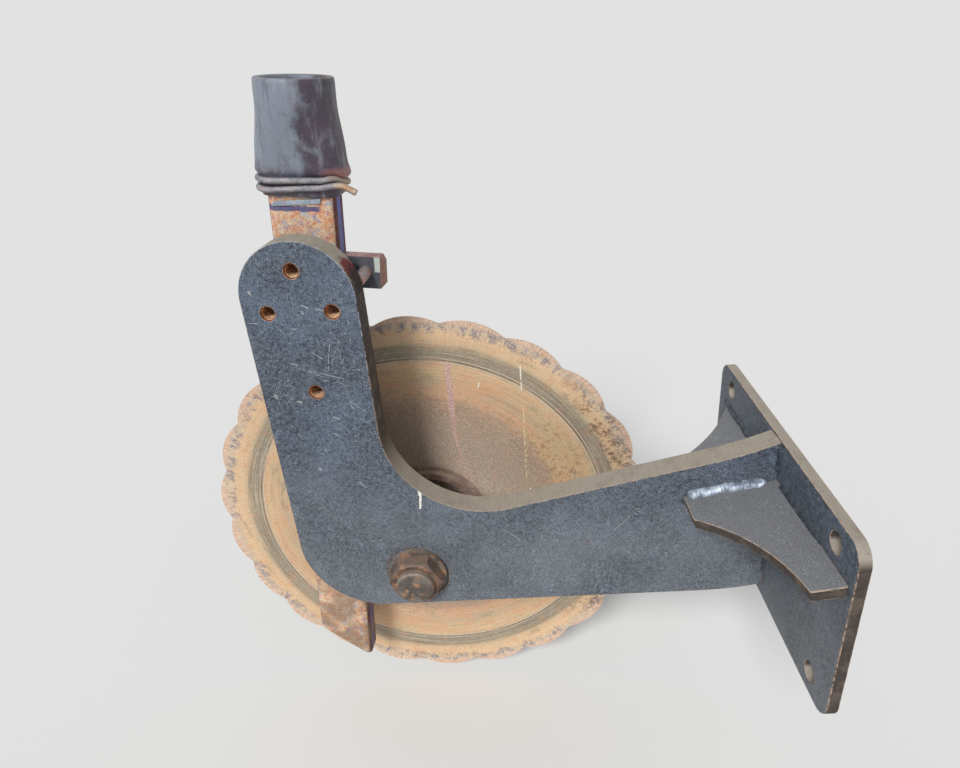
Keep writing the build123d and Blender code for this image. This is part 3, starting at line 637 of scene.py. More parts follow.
def disc_finish(colours):
    """Soil-worn steel: bands by radius, fine turned lines, a rough rim, streaks that ran down."""
    work = Finish("disc_steel_worn", *DISC_FRAME)
    x, _, z = work.axes()
    fine_rings = work.rings(1500, 2.2, 3)
    lines = fine_rings["Value"]
    wide_lines, spokes, stretched, smears = (
        work.rings(*values)["Value"] for values in ((800, 3, 5), (60, 170, 4), (70, 5, 6), (90, 34, 6))
    )
    radius = work.calc("DIVIDE", fine_rings["Radius"], DISC_RADIUS)
    broad = work.cloud(13)
    patchy = work.cloud(60, 6, 0.72, 0.5)
    fine = work.cloud(620, 4, 0.75)
    grit = work.cloud(1600, 2, 0.65)
    mottle = work.cloud(150, 6, 0.75, 0.3, work.stretch(1, 1, 1.4))
    wander = work.plus(work.calc("SUBTRACT", broad, 0.5), 0.012, radius)

    front = work.ramp(
        wander,
        (0, colours.disc_centre),
        (1, colours.disc_rim),
        (0.3, (192, 171, 151)),
        (0.42, (182, 161, 142)),
        (0.56, (176, 151, 129)),
        (0.605, (186, 155, 130)),
        (0.645, (216, 174, 138)),
        (0.7, (200, 174, 142)),
        (0.73, colours.disc_tan),
        (0.785, (220, 186, 147)),
        (0.803, (174, 158, 136)),
        (0.83, colours.disc_groove),
        (0.862, (172, 157, 132)),
        (0.885, (218, 187, 149)),
        (0.93, (230, 194, 153)),
        (0.958, (212, 190, 164)),
        (0.985, colours.disc_rim),
    )
    back = work.ramp(
        wander,
        (0, (120, 96, 80)),
        (1, colours.disc_rim),
        (0.45, colours.disc_back),
        (0.8, (170, 140, 110)),
        (0.95, (186, 152, 126)),
    )
    on_front = work.ease(work.facing(SPIN), 0.3, -0.3)
    worked = work.ease(radius, 0.54, 0.64)
    grooved = work.band(wander, 0.8, 0.872, 0.006)
    outer = work.ease(wander, 0.868, 0.885)
    rim = work.ease(radius, 0.966, 0.984)
    depth = work.level(grooved, work.level(outer, work.level(worked, 0.06, 0.2), 0.1), 0.5)
    along = work.ease(work.cloud(22, 2), 0.34, 0.52)
    rim_shade = work.layers(
        work.blend((spokes, 0.36, 0.64), (234, 206, 180), (204, 164, 140)),
        ((222, 214, 216), (grit, 0.56, 0.68), 0.6),
        ((160, 112, 94), (fine, 0.54, 0.66), 0.5),
        ((218, 158, 124), (patchy, 0.52, 0.64), 0.6),
    )
    right = work.ease(work.calc("DIVIDE", x, fine_rings["Radius"]), 0.62, 0.86)
    clump = work.both((patchy, 0.42, 0.56), (mottle, 0.47, 0.56))
    yellow = work.both(work.band(radius, 0.6, 0.76, 0.03), right, on_front)
    dots = work.specks(420, 0.55, 0.34)

    # The broad streak: its edges are ragged, and a thin border runs down each
    shift = work.plus(work.cloud(60), 0.004, -0.002)
    middle = work.level((z, 0.12, 0.04), 0.0392, 0.0478)
    aside = work.calc("ABSOLUTE", work.calc("ADD", work.calc("SUBTRACT", x, middle), shift))
    half = work.level((z, 0.065, 0.15), 0.0009, 0.0036)
    ragged = work.plus(fine, 0.7, work.calc("SUBTRACT", work.calc("DIVIDE", aside, half), 0.35))
    span = work.both((z, 0.042, 0.052), (z, 0.204, 0.196))
    border = work.calc("ABSOLUTE", work.calc("SUBTRACT", ragged, 1))
    streak_shade = work.blend((fine, 0.4, 0.6), (220, 190, 180), (176, 134, 130))
    streak_shade = work.blend(work.both(dots, 0.8), streak_shade, (240, 220, 212))

    base = work.layers(
        work.blend(on_front, back, front),
        # Rust and olive soil in patches that follow the turned bands
        (colours.disc_orange, work.band(wander, 0.61, 0.79, 0.02), (stretched, 0.46, 0.6), 0.55),
        ((218, 154, 116), (patchy, 0.5, 0.66), work.level(worked, 0.22, 0.42)),
        ((206, 188, 156), (patchy, 0.46, 0.34), work.level(worked, 0.25, 0.35)),
        ((148, 143, 118), (stretched, 0.44, 0.32), worked, (fine, 0.32, 0.55), 0.65),
        # Turned lines, deepest in the grooved band
        ((104, 94, 78), (wide_lines, 0.52, 0.64), depth),
        ((226, 204, 172), (wide_lines, 0.46, 0.34), depth, 0.7),
        ((92, 82, 68), (lines, 0.53, 0.64), depth, 1.2),
        ((228, 210, 182), (lines, 0.44, 0.34), depth, 0.8),
        *((row[3], work.band(radius, *row[:2], 0.0012), along, row[2]) for row in TURNED_LINES),
        # Fine strokes across the outer zone, with what is left of blue-grey paint
        ((176, 134, 104), (spokes, 0.5, 0.66), outer, 0.22),
        ((234, 208, 178), (spokes, 0.46, 0.32), outer, 0.25),
        (
            (106, 110, 132),
            work.band(radius, 0.928, 0.976, 0.012),
            (smears, 0.46, 0.56),
            (work.cloud(16, 2), 0.32, 0.46),
            (fine, 0.34, 0.56),
            on_front,
            0.75,
        ),
        # The rough rim, speckled where it is chipped
        (rim_shade, rim, 0.85),
        # Dark and rusty mottles to the right, where soil stuck
        ((92, 66, 54), clump, work.band(radius, 0.865, 0.985, 0.02), right, on_front, 0.8),
        ((210, 184, 136), yellow, 0.4),
        ((104, 78, 56), yellow, (mottle, 0.51, 0.58), (fine, 0.4, 0.54), 0.7),
        # Painted shade inside the hub's ring: the recess is darkened
        ((76, 65, 60), (radius, 0.215, 0.19), work.level((fine, 0.36, 0.6), 0.95, 0.7)),
        # Sandpaper grain: dense and pale over the middle, finer outside
        ((126, 104, 90), (fine, 0.5, 0.64), work.level(worked, 0.5, 0.3)),
        ((226, 209, 193), (fine, 0.47, 0.35), work.level(worked, 0.6, 0.3)),
        ((230, 215, 201), dots, work.level(worked, 0.62, 0.14)),
        ((88, 66, 54), work.specks(360, 0.16, 0.28), (patchy, 0.42, 0.58), 0.55),
        ((184, 108, 70), work.specks(75, 0.18, 0.13), (radius, 0.55, 0.8), 0.6),
        # Streaks that ran down the front
        (streak_shade, (ragged, 1.1, 0.85), span, on_front, 0.8),
        ((206, 140, 112), (border, 0.16, 0.04), span, on_front, 0.55),
        ((246, 242, 230), work.strokes(WHITE_RUNS), on_front, 0.9),
        ((236, 224, 166), work.strokes(YELLOW_RUNS), (work.cloud(300, 2), 0.42, 0.5), on_front, 0.9),
    )
    normal = work.bump(work.calc("MULTIPLY", lines, work.level(grooved, 0.15, 1)), 0.0007)
    pits = work.plus(fine, work.level(rim, 0.6, 1.3), work.calc("MULTIPLY", patchy, 0.3))
    rough = work.level(rim, work.level((wide_lines, 0.35, 0.6), 0.58, 0.74), 0.82)
    return work.wear(base, rough, work.bump(pits, 0.0007, under=normal), specular=0.35)


def iron_finish(name, frame, colours, dark, pale, dusty):
    """Cast or forged iron under old rust and soil dust."""
    work = Finish(name, *frame)
    broad = work.cloud(60, 4, 0.6, 0.3)
    fine = work.cloud(700, 4, 0.65)
    rust = work.rust(120, colours.rust, colours.rust_dark)
    base = work.layers(
        work.blend((broad, 0.38, 0.66), dark, pale),
        (rust["Color"], (rust["Patch"], 0.5, 0.62), 0.55),
        ((162, 144, 128), (work.facing(UP), 0, 0.8), dusty),
        ((186, 176, 168), work.specks(540, 0.25, 0.34), 0.5),
    )
    normal = work.bump(work.plus(fine, 0.8, broad), 0.0006)
    return work.wear(base, work.level((fine, 0.4, 0.6), 0.55, 0.85), normal, 0.25)


def tube_finish(colours):
    """Deep blue paint with a rusted front and rusted corners."""
    work = Finish("tube_paint_rusted", *TUBE_FRAME)
    x, y, z = work.axes()
    front = work.ease(work.facing(ACROSS), -0.5, -0.72)
    back = work.ease(work.facing(ACROSS), 0.55, 0.8)
    side = work.ease(work.calc("ABSOLUTE", work.facing(TUBE_RIGHT)), 0.8, 0.97)
    broad = work.cloud(34, 4, 0.6, 0.4)
    blotch = work.cloud(150, 4, 0.66, 0.5)
    fine = work.cloud(560, 4, 0.68)
    rust = work.rust(60, (176, 98, 56), (96, 50, 40))["Color"]

    blue = work.blend((broad, 0.35, 0.65), (28, 36, 122), colours.tube_blue)
    blue = work.layers(blue, ((110, 104, 128), (fine, 0.55, 0.68), 0.25))
    brown = work.blend((blotch, 0.4, 0.62), (74, 45, 50), (112, 65, 58))
    brown = work.layers(brown, (rust, (fine, 0.5, 0.62), 0.25))
    # Corners of the side faces rust first
    from_middle = work.calc("DIVIDE", work.calc("ABSOLUTE", work.calc("ADD", y, 0.0015)), TUBE_HALF_DEPTH)
    ragged = work.plus(work.plus(blotch, 0.5, broad), 0.55, from_middle)
    painted = work.both(side, (ragged, 0.86, 0.66))
    painted = work.calc("MAXIMUM", painted, work.both(back, (broad, 0.44, 0.52)))

    # The front: salmon rust with beige, orange, violet and pale blue-green in blotches
    left_blue = work.band(work.plus(blotch, 0.004, z), 0.0688, 0.074, 0.0008)
    mottled = work.layers(
        work.blend((blotch, 0.36, 0.64), (218, 148, 104), (228, 204, 172)),
        ((186, 112, 78), (fine, 0.46, 0.66), 0.75),
        ((232, 216, 192), (work.cloud(320, 4, 0.7), 0.5, 0.66), 0.75),
        ((166, 180, 190), (work.cloud(105, 4, 0.65), 0.52, 0.64), (fine, 0.3, 0.56), 0.85),
        ((142, 112, 166), (work.cloud(210, 4, 0.7), 0.53, 0.66), (blotch, 0.56, 0.42), 0.8),
        ((118, 102, 150), work.specks(420, 0.24, 0.3), 0.6),
        ((150, 82, 58), work.specks(360, 0.2, 0.3), 0.6),
        ((240, 230, 216), work.specks(520, 0.3, 0.32), 0.7),
        ((52, 66, 122), left_blue, (x, 0.02, 0.016), 0.85),
    )
    base = work.layers(
        work.blend(painted, brown, blue),
        (mottled, front, 0.97),
        ((128, 108, 88), (z, -0.2, -0.42), (broad, 0.35, 0.6), 0.7),
    )
    lumps = work.calc("MULTIPLY", blotch, work.level(painted, 0.9, 0.1))
    normal = work.bump(work.plus(fine, work.level(front, 0.3, 1), lumps), 0.0016, 0.75)
    return work.wear(base, work.level(painted, 0.82, 0.42), normal)


def lug_finish():
    """Dark steel block: reddish top, brown end, a pale worn patch in front."""
    work = Finish("lug_steel_worn", *TUBE_FRAME)
    x, _, z = work.axes()
    fine = work.cloud(700, 4, 0.65)
    broad = work.cloud(90, 4, 0.65)
    top = work.blend((broad, 0.35, 0.65), (140, 106, 100), (172, 136, 128))
    end = work.blend((fine, 0.4, 0.6), (120, 88, 78), (150, 116, 102))
    wander = work.plus(broad, 0.003, -0.0015)
    across_patch = work.band(work.calc("ADD", x, wander), 0.0625, 0.0688, 0.0006)
    up_patch = work.ease(work.calc("ADD", z, wander), 0.0115, 0.0135)
    base = work.layers(
        work.blend((broad, 0.36, 0.66), (72, 74, 82), (98, 99, 106)),
        (top, (work.facing(TUBE_UP), 0.5, 0.8)),
        (end, (work.facing(TUBE_RIGHT), 0.3, 0.6)),
        ((196, 206, 198), across_patch, up_patch, (work.facing(ACROSS), -0.8, -0.95), 0.9),
        ((118, 74, 60), (work.cloud(260, 3, 0.6), 0.58, 0.7), 0.3),
        ((182, 170, 164), work.specks(900, 0.2, 0.3), 0.35),
    )
    return work.wear(base, work.level((fine, 0.4, 0.6), 0.5, 0.68), work.bump(fine, 0.0005), 0.2)


def pin_finish():
    """Grey pin steel with pinkish-red rubbed patches low down and dark spots."""
    work = Finish("pin_steel_rubbed", *ARM_FRAME)
    fine = work.cloud(700, 4, 0.65)
    low = work.ease(work.facing(UP), 0.75, 0.25)
    base = work.layers(
        work.blend((fine, 0.3, 0.7), (134, 131, 129), (170, 165, 161)),
        ((182, 122, 114), (work.cloud(150, 3, 0.6), 0.38, 0.64), work.level(low, 0.25, 0.8)),
        ((66, 58, 56), work.specks(300, 0.22, 0.24), 0.75),
    )
    return work.wear(base, 0.55, work.bump(fine, 0.0004), 0.3)


def rubber_finish(colours):
    """Dusty black rubber: plum where clean, blue-grey painted light over some dust on the left, a red flare
    to the right.
    """
    work = Finish("cuff_rubber_dusty", *TUBE_FRAME)
    x, _, z = work.axes()
    broad = work.cloud(20)
    cloudy = work.cloud(45, 5, 0.62, 0.3)
    fine = work.cloud(520, 4, 0.65)
    streaks = work.cloud(150, 4, 0.65, at=work.stretch(1, 1, 0.22))
    # Blue-grey on the left is painted light: the lit side and its sheen, laid over some dust
    bloom_and_painted_light = work.plus(work.ease(x, 0.017, 0.001), 0.34, cloudy)
    flare = work.blend((fine, 0.4, 0.6), (138, 84, 82), (166, 116, 108))
    base = work.layers(
        work.blend((broad, 0.35, 0.68), colours.rubber, (76, 62, 77)),
        ((126, 134, 146), (bloom_and_painted_light, 0.5, 0.86), (z, 0.09, 0.112), 0.88),
        ((148, 150, 160), (streaks, 0.52, 0.68), 0.35),
        ((48, 42, 52), (streaks, 0.46, 0.32), 0.35),
        ((104, 100, 108), (z, 0.096, 0.086), (cloudy, 0.4, 0.6), 0.45),
        (flare, work.band(z, 0.095, 0.1045, 0.003), (x, 0.02, 0.034), (cloudy, 0.26, 0.46), 0.85),
        ((128, 118, 116), (work.facing(UP), 0.2, 0.9), (broad, 0.3, 0.6), 0.4),
        ((164, 158, 162), work.specks(520, 0.26, 0.28), 0.45),
        ((34, 30, 36), work.specks(190, 0.12, 0.18), 0.5),
    )
    normal = work.bump(work.plus(fine, 0.5, streaks), 0.0005)
    return work.wear(base, work.level((broad, 0.35, 0.65), 0.44, 0.62), normal, sheen=0.12)


def wire_finish(colours):
    """Tie wire, blue-grey round the cuff, cream and tan on its bent-out end, with painted shade on its
    underside.
    """
    work = Finish("tie_wire_rusted", *TUBE_FRAME)
    x = work.axes()[0]
    along = work.cloud(80, 4, 0.6, at=work.stretch(1, 1, 2.4))
    fine = work.cloud(800, 4, 0.65)
    base = work.layers(
        work.blend((along, 0.38, 0.62), (118, 118, 128), (160, 158, 162)),
        (work.blend((along, 0.4, 0.6), (176, 140, 104), colours.wire), (x, 0.03, 0.044), 0.9),
        ((150, 110, 82), (along, 0.52, 0.66), 0.5),
        ((112, 72, 56), (fine, 0.54, 0.66), 0.65),
        ((206, 200, 192), (fine, 0.44, 0.32), 0.5),
        # Painted shade: the wire's underside is darkened
        ((66, 58, 58), (work.facing(TUBE_UP), -0.1, -0.7), 0.5),
        ((138, 96, 72), (x, 0.0528, 0.0534), (work.facing(TUBE_RIGHT), 0.6, 0.8), 0.8),
    )
    return work.wear(base, work.level(fine, 0.45, 0.72), work.bump(fine, 0.0004), 0.2)


def weld_finish(name, bright, dark, gloss):
    """Weld metal with ripples that catch the light."""
    work = Finish(name, *ARM_FRAME)
    base = work.blend((work.cloud(120, 3, 0.6), 0.36, 0.62), dark, bright)
    base = work.layers(base, ((76, 72, 72), work.specks(420, 0.22, 0.3), 0.5))
    return work.wear(base, gloss, work.bump(work.cloud(520, 3, 0.6), 0.0004, 0.35), 0.35)


def thread_finish():
    """Thread turns with bare crests and rust between them."""
    work = Finish("thread_rust", *ARM_FRAME)
    fine = work.cloud(1200, 3, 0.6)
    base = work.layers(
        work.blend((fine, 0.38, 0.6), (104, 52, 32), (196, 128, 80)),
        ((222, 176, 132), (work.cloud(240, 3, 0.6), 0.52, 0.64), 0.6),
        ((238, 212, 172), (work.facing(UP), 0.1, 0.7), (fine, 0.36, 0.56), 0.8),
    )
    return work.wear(base, 0.6, work.bump(fine, 0.0002, 0.4), 0.3)


# Mesh building


def new_piece(name, bm, material):
    """Makes a finished mesh an object that rides on the arm."""
    bmesh.ops.recalc_face_normals(bm, faces=bm.faces)
    if not bm.faces:
        raise RuntimeError(f"{name} has no faces")
    mesh = bpy.data.meshes.new(name)
    bm.to_mesh(mesh)
    bm.free()
    mesh.shade_smooth()
    piece = bpy.data.objects.new(name, mesh)
    bpy.context.scene.collection.objects.link(piece)
    mesh.materials.append(material)
    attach(piece, "arm")
    return piece


def dress(node, material):
    """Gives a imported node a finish."""
    target = NODES[node]
    target.data.materials.clear()
    target.data.materials.append(material)


def round_edges(node, width):
    """A worn round on a cut plate's edges, without touching its mesh."""
    target = NODES[node]
    weld = target.modifiers.new("Join", "WELD")
    weld.merge_threshold = 0.00001
    flat = target.modifiers.new("Flat faces", "DECIMATE")
    flat.decimate_type = "DISSOLVE"
    flat.angle_limit = math.radians(1)
    bevel = target.modifiers.new("Worn edge", "BEVEL")
    bevel.width = width
    bevel.segments = 2
    bevel.limit_method = "ANGLE"
    bevel.angle_limit = math.radians(40)
    bevel.use_clamp_overlap = False
    smooth = target.modifiers.new("Flat light", "WEIGHTED_NORMAL")
    smooth.mode = "FACE_AREA"
    smooth.weight = 80
    smooth.keep_sharp = True


def ring(bm, centre, right, across, radius, count):
    """Vertices of a circle about a centre, in order."""
    basis = Matrix((right, across, right.cross(across))).transposed().to_4x4()
    basis.translation = centre
    return bmesh.ops.create_circle(bm, segments=count, radius=radius, matrix=basis)["verts"]


def ring_edges(verts):
    chosen = set(verts)
    edges = {edge for vert in verts for edge in vert.link_edges}
    return [edge for edge in edges if edge.verts[0] in chosen and edge.verts[1] in chosen]


# A bead's form in shares of its width: its tips, the run to full width, its sway, its bow and its flatness
BEAD_TIP, BEAD_SWELL, BEAD_SWAY, BEAD_BOW, BEAD_FLAT = 0.3, 0.55, 0.035, 0.22, 0.28
BEAD_SIZE, BEAD_UNEVEN = 0.94, 0.10


def weld_bead(bm, start, end, out, width, pitch, seed=0.0):
    """Lays a bead from start to end: a round bar of ripples, half in the corner, with rounded ends."""
    run = end - start
    along = run.normalized()
    side = out.cross(along).normalized()
    out = along.cross(side)
    per_ripple = 4
    steps = max(12, round(run.length / pitch * per_ripple))
    stride = run.length / steps
    basis = Matrix((side, out, along)).transposed().to_4x4()
    basis.translation = start
    radius = width * 0.5 * BEAD_TIP
    made = bmesh.ops.create_circle(bm, cap_ends=True, segments=14, radius=radius, matrix=basis)
    face = made["verts"][0].link_faces[0]
    laid = list(made["verts"])
    last = BEAD_TIP
    for step in range(1, steps + 1):
        share = step / steps
        near_end = min(share, 1 - share) * run.length / (width * BEAD_SWELL)
        envelope = math.sqrt(max(BEAD_TIP * BEAD_TIP, 1 - (1 - min(1, near_end)) ** 2))
        phase = (step % per_ripple) / per_ripple
        wander = noise.noise(Vector((step * 0.23 + seed, seed * 3.1, 0.4)))
        size = envelope * (BEAD_SIZE + BEAD_UNEVEN * phase + BEAD_UNEVEN * wander)
        face = bmesh.ops.extrude_discrete_faces(bm, faces=[face])["faces"][0]
        verts = list(face.verts)
        sway = side * width * BEAD_SWAY * noise.noise(Vector((seed, step * 0.17, 2.2)))
        bmesh.ops.translate(bm, vec=along * stride + sway, verts=verts)
        centre = sum((vert.co for vert in verts), Vector()) / len(verts)
        bmesh.ops.scale(bm, vec=(size / last,) * 3, space=Matrix.Translation(-centre), verts=verts)
        last = size
        laid.extend(verts)
    for vert in laid:
        aside = (vert.co - start).dot(side) / (width * 0.5)
        vert.co -= along * width * BEAD_BOW * aside * aside
        rise = (vert.co - start).dot(out)
        vert.co -= out * max(0.0, rise) * BEAD_FLAT


def lay_beads(name, beads, material, width, pitch):
    bm = bmesh.new()
    for index, (start, end, out) in enumerate(beads):
        weld_bead(bm, start, end, out.normalized(), width, pitch, index * 1.7 + 0.3)
    return new_piece(name, bm, material)


def make_welds(sizes):
    """The bead on the open gusset, pale bluish as a painted sky reflection on glossy paint, and the duller
    ones that hold the other plates.
    """
    # Painted reflection: the open bead's pale bluish colour stands in for sky caught by glossy black paint
    bright = weld_finish("weld_bright", (176, 186, 198), (104, 114, 130), 0.46)
    dull = weld_finish("weld_painted", (78, 83, 93), (50, 54, 62), 0.50)
    start = arm_point(*GUSSET_START)
    run = (flange_corner(GUSSET_START[1], 0) - start).dot(ALONG) / math.cos(GUSSET_SLOPE)
    out = (GUSSET_TOP - ACROSS).normalized()
    head, tail, proud = GUSSET_ALONG * (4 * MM), GUSSET_ALONG * (run - 8 * MM), out * (1.2 * MM)
    bead = (start + head + proud, start + tail + proud, out)
    lay_beads("weld_gusset_open", [bead], bright, sizes.weld_width, sizes.weld_ripple)

    width, pitch = sizes.weld_small, sizes.weld_ripple * 0.8
    far = start + ACROSS * ARM_THICK
    beads = [(far + head, far + tail, GUSSET_TOP + ACROSS)]
    under = -GUSSET_TOP * GUSSET_THICK
    head, tail = GUSSET_ALONG * (3 * MM), GUSSET_ALONG * (run - 6 * MM)
    for base, face in ((start, -ACROSS), (far, ACROSS)):
        beads.append((base + under + head, base + under + tail, face - GUSSET_TOP))
        beads.append((base - GUSSET_TOP * MM, base + under * 0.95, face - ALONG))
    # Up the corners of arm and flange, in two runs that leave the gussets free, in millimetres
    back = Vector((-1, 0, 0))
    faces = ((0, -1), (ARM_THICK / MM, 1))
    for depth, sign in faces:
        for low, high in ((12, 103), (132, 157)):
            beads.append((flange_corner(low, depth), flange_corner(high, depth), back + ACROSS * sign))
    # Across the flange over and under both gussets
    over = GUSSET_START[1] + math.tan(GUSSET_SLOPE) * run * math.cos(GUSSET_SLOPE) / MM
    upright = 10.3
    clear, reach = Vector((0, 10 * MM, 0)), Vector((0, 118 * MM, 0))
    for depth, sign in faces:
        for level, normal in ((over, GUSSET_TOP), (over - upright, -GUSSET_TOP)):
            near = flange_corner(level, depth) + clear * sign
            beads.append((near, near + reach * sign, back + normal))
    lay_beads("weld_plates", beads, dull, width, pitch)

    lug_side, lug_foot, lug_top = 31.2, -1.5, 24.5
    lug = [
        (tube_point(lug_side, y, lug_foot), tube_point(lug_side, y, lug_top), TUBE_RIGHT + face)
        for y, face in ((-10, -ACROSS), (4, ACROSS))
    ]
    lay_beads("weld_lug", lug, dull, width * 0.8, pitch)
    low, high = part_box("tube_stay")
    middle = (low + high) / 2
    middle -= ACROSS * (middle - FOOT).dot(ACROSS)
    half_height = (high.z - low.z) / 2
    reach = ALONG * 17.5 * MM
    stay_near, stay_far = 26 * MM, 41 * MM
    stay = []
    for level, normal in ((half_height, UP), (-half_height, -UP)):
        for depth, face in ((stay_near, -ACROSS), (stay_far, ACROSS)):
            centre = middle + ACROSS * depth + UP * level
            stay.append((centre - reach, centre + reach, normal - face))
    lay_beads("weld_stay", stay, dull, width * 0.7, pitch)


def make_threads(sizes):
    """A screw thread in each of the four tapped holes."""
    bm = bmesh.new()
    pitch, steps, inset = sizes.thread_pitch, 20, 0.8 * MM
    turns = (ARM_THICK - 2 * inset) / pitch - 1
    for name, mount in MOUNTS.items():
        if not name.startswith("stem_hole"):
            continue
        centre = Vector(mount["pos_m"])
        start = centre - ACROSS * (ARM_THICK / 2 - inset)
        root, crest = sizes.thread_root, sizes.thread_crest
        profile = ((root, 0.00003), (crest, pitch * 0.44), (crest, pitch * 0.56), (root, pitch * 0.97))
        verts = [bm.verts.new(start + UP * radius + ACROSS * rise) for radius, rise in profile]
        face = bm.faces.new(verts)
        bmesh.ops.spin(
            bm,
            geom=[face, *face.edges, *verts],
            cent=centre,
            axis=ACROSS,
            dvec=ACROSS * pitch / steps,
            angle=math.tau * turns,
            steps=round(steps * turns),
            use_duplicate=False,
        )
    new_piece("hole_threads", bm, thread_finish())


def sleeve_point(turn, half_width, half_depth, corner):
    """A point of a rounded rectangle in millimetres, at a turn from its right."""
    x, y = math.cos(turn), math.sin(turn)
    spread = 1.45 * max(half_width, half_depth)
    flat_x, flat_y = half_width - corner, half_depth - corner
    return (
        max(-flat_x, min(flat_x, spread * x)) + corner * x,
        max(-flat_y, min(flat_y, spread * y)) + corner * y,
    )


def turn_noise(turn, size, seed):
    """Noise that closes on itself round a turn."""
    return noise.noise(Vector((math.cos(turn) * size, math.sin(turn) * size, seed)))


def make_cuff(colours, sizes):
    """Rubber cuff: pinched by the wires, a curled lip above them, then drawn in to a round neck."""
    bm = bmesh.new()
    count = 64
    sections = (
        # level, half width, half depth, corner, share of the lip's wander
        (80.2, 32.6, 17.6, 9.4, 0.0),
        (79.9, 34.0, 19.0, 11.0, 0.1),
        (80.8, 35.2, 20.2, 12.4, 0.15),
        (83.0, 35.5, 20.5, 12.6, 0.1),
        (85.8, 35.3, 20.3, 12.4, 0.0),
        (88.5, 34.7, 19.7, 12.0, 0.0),
        (90.6, 35.2, 20.2, 12.4, 0.05),
        (92.5, 35.6, 20.6, 12.6, 0.05),
        (94.4, 35.2, 20.2, 12.4, 0.0),
        (96.5, 34.8, 19.8, 12.2, 0.0),
        (98.6, 35.8, 20.6, 13.0, 0.3),
        (100.0, 37.8, 22.0, 14.4, 0.8),
        (101.8, 39.2, 23.2, 15.6, 1.0),
        (104.2, 39.6, 23.9, 16.6, 1.0),
        (107.4, 39.0, 24.2, 17.4, 0.8),
        (112.0, 38.5, 24.8, 18.6, 0.4),
        (119.0, 38.2, 26.2, 21.2, 0.2),
        (128.0, 37.4, 28.4, 25.0, 0.1),
        (138.0, 36.0, 31.0, 29.5, 0.0),
        (148.0, 34.6, 33.3, 33.0, 0.0),
        (158.0, 34.0, 34.0, 34.0, 0.0),
        (173.5, 34.0, 34.0, 34.0, 0.0),
        (175.6, 33.2, 33.2, 33.2, 0.0),
        (176.0, 31.6, 31.6, 31.6, 0.0),
        (175.6, 28.4, 28.4, 28.4, 0.0),
        (174.0, 27.2, 27.2, 27.2, 0.0),
        (162.0, 27.0, 27.0, 27.0, 0.0),
        (150.0, 27.0, 26.8, 26.6, 0.0),
        (136.0, 27.4, 21.5, 19.0, 0.0),
        (124.0, 27.9, 17.0, 12.0, 0.0),
        (112.6, 28.4, 13.8, 7.0, 0.0),
        (112.4, 31.4, 16.4, 8.4, 0.0),
        (98.0, 31.3, 16.3, 8.3, 0.0),
        (81.0, 31.3, 16.3, 8.3, 0.0),
    )
    # The lip's right-hand corner is pulled out and down: how far, how wide, at which level and how high
    pull, pull_turn, pull_level, pull_height = 4.6, 0.42, 100.6, 2.4
    mean_half, lip_lift = 40, 1.6
    rings = []
    for level, half_width, half_depth, corner, wander in sections:
        loop = ring(bm, TUBE_ORIGIN, TUBE_RIGHT, ACROSS, 0.03, count)
        for index, vert in enumerate(loop):
            turn = math.tau * index / count
            x, y = sleeve_point(turn, half_width, half_depth, corner)
            out = 1 + wander * turn_noise(turn, 1.3, 5.1) * sizes.cuff_wave / MM / mean_half
            lift = wander * turn_noise(turn, 1.6, 1.7) * lip_lift
            aside = min(turn, math.tau - turn) / pull_turn
            off_level = (level - pull_level) / pull_height
            flare = pull * math.exp(-(aside**2) - off_level**2) if wander else 0
            vert.co = tube_point(x * out + flare, y * out, level + lift - flare)
        rings.append(loop)
    for lower, upper in zip(rings, rings[1:] + rings[:1]):
        bmesh.ops.bridge_loops(bm, edges=ring_edges(lower) + ring_edges(upper))
    cuff = new_piece("cuff_rubber", bm, rubber_finish(colours))
    smooth = cuff.modifiers.new("Smooth rubber", "SUBSURF")
    smooth.levels = smooth.render_levels = 1
    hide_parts("hose_cuff")


def bent_wire(name, bends, radius, material):
    """A wire through bends: each is a point, its two handles and its share of the wire's radius."""
    line = bpy.data.curves.new(name, "CURVE")
    line.dimensions = "3D"
    line.bevel_depth = radius
    line.bevel_resolution = 5
    line.resolution_u = 10
    line.use_fill_caps = True
    spline = line.splines.new("BEZIER")
    spline.bezier_points.add(len(bends) - 1)
    for bend, (place, before, after, share) in zip(spline.bezier_points, bends):
        bend.handle_left_type = bend.handle_right_type = "FREE"
        bend.co, bend.handle_left, bend.handle_right, bend.radius = place, before, after, share
    holder = bpy.data.objects.new(name + "_line", line)
    bpy.context.scene.collection.objects.link(holder)
    bpy.context.view_layer.update()
    mesh = bpy.data.meshes.new_from_object(holder.evaluated_get(bpy.context.evaluated_depsgraph_get()))
    bpy.data.objects.remove(holder)
    bm = bmesh.new()
    bm.from_mesh(mesh)
    bmesh.ops.remove_doubles(bm, verts=bm.verts, dist=0.000001)
    return new_piece(name, bm, material)


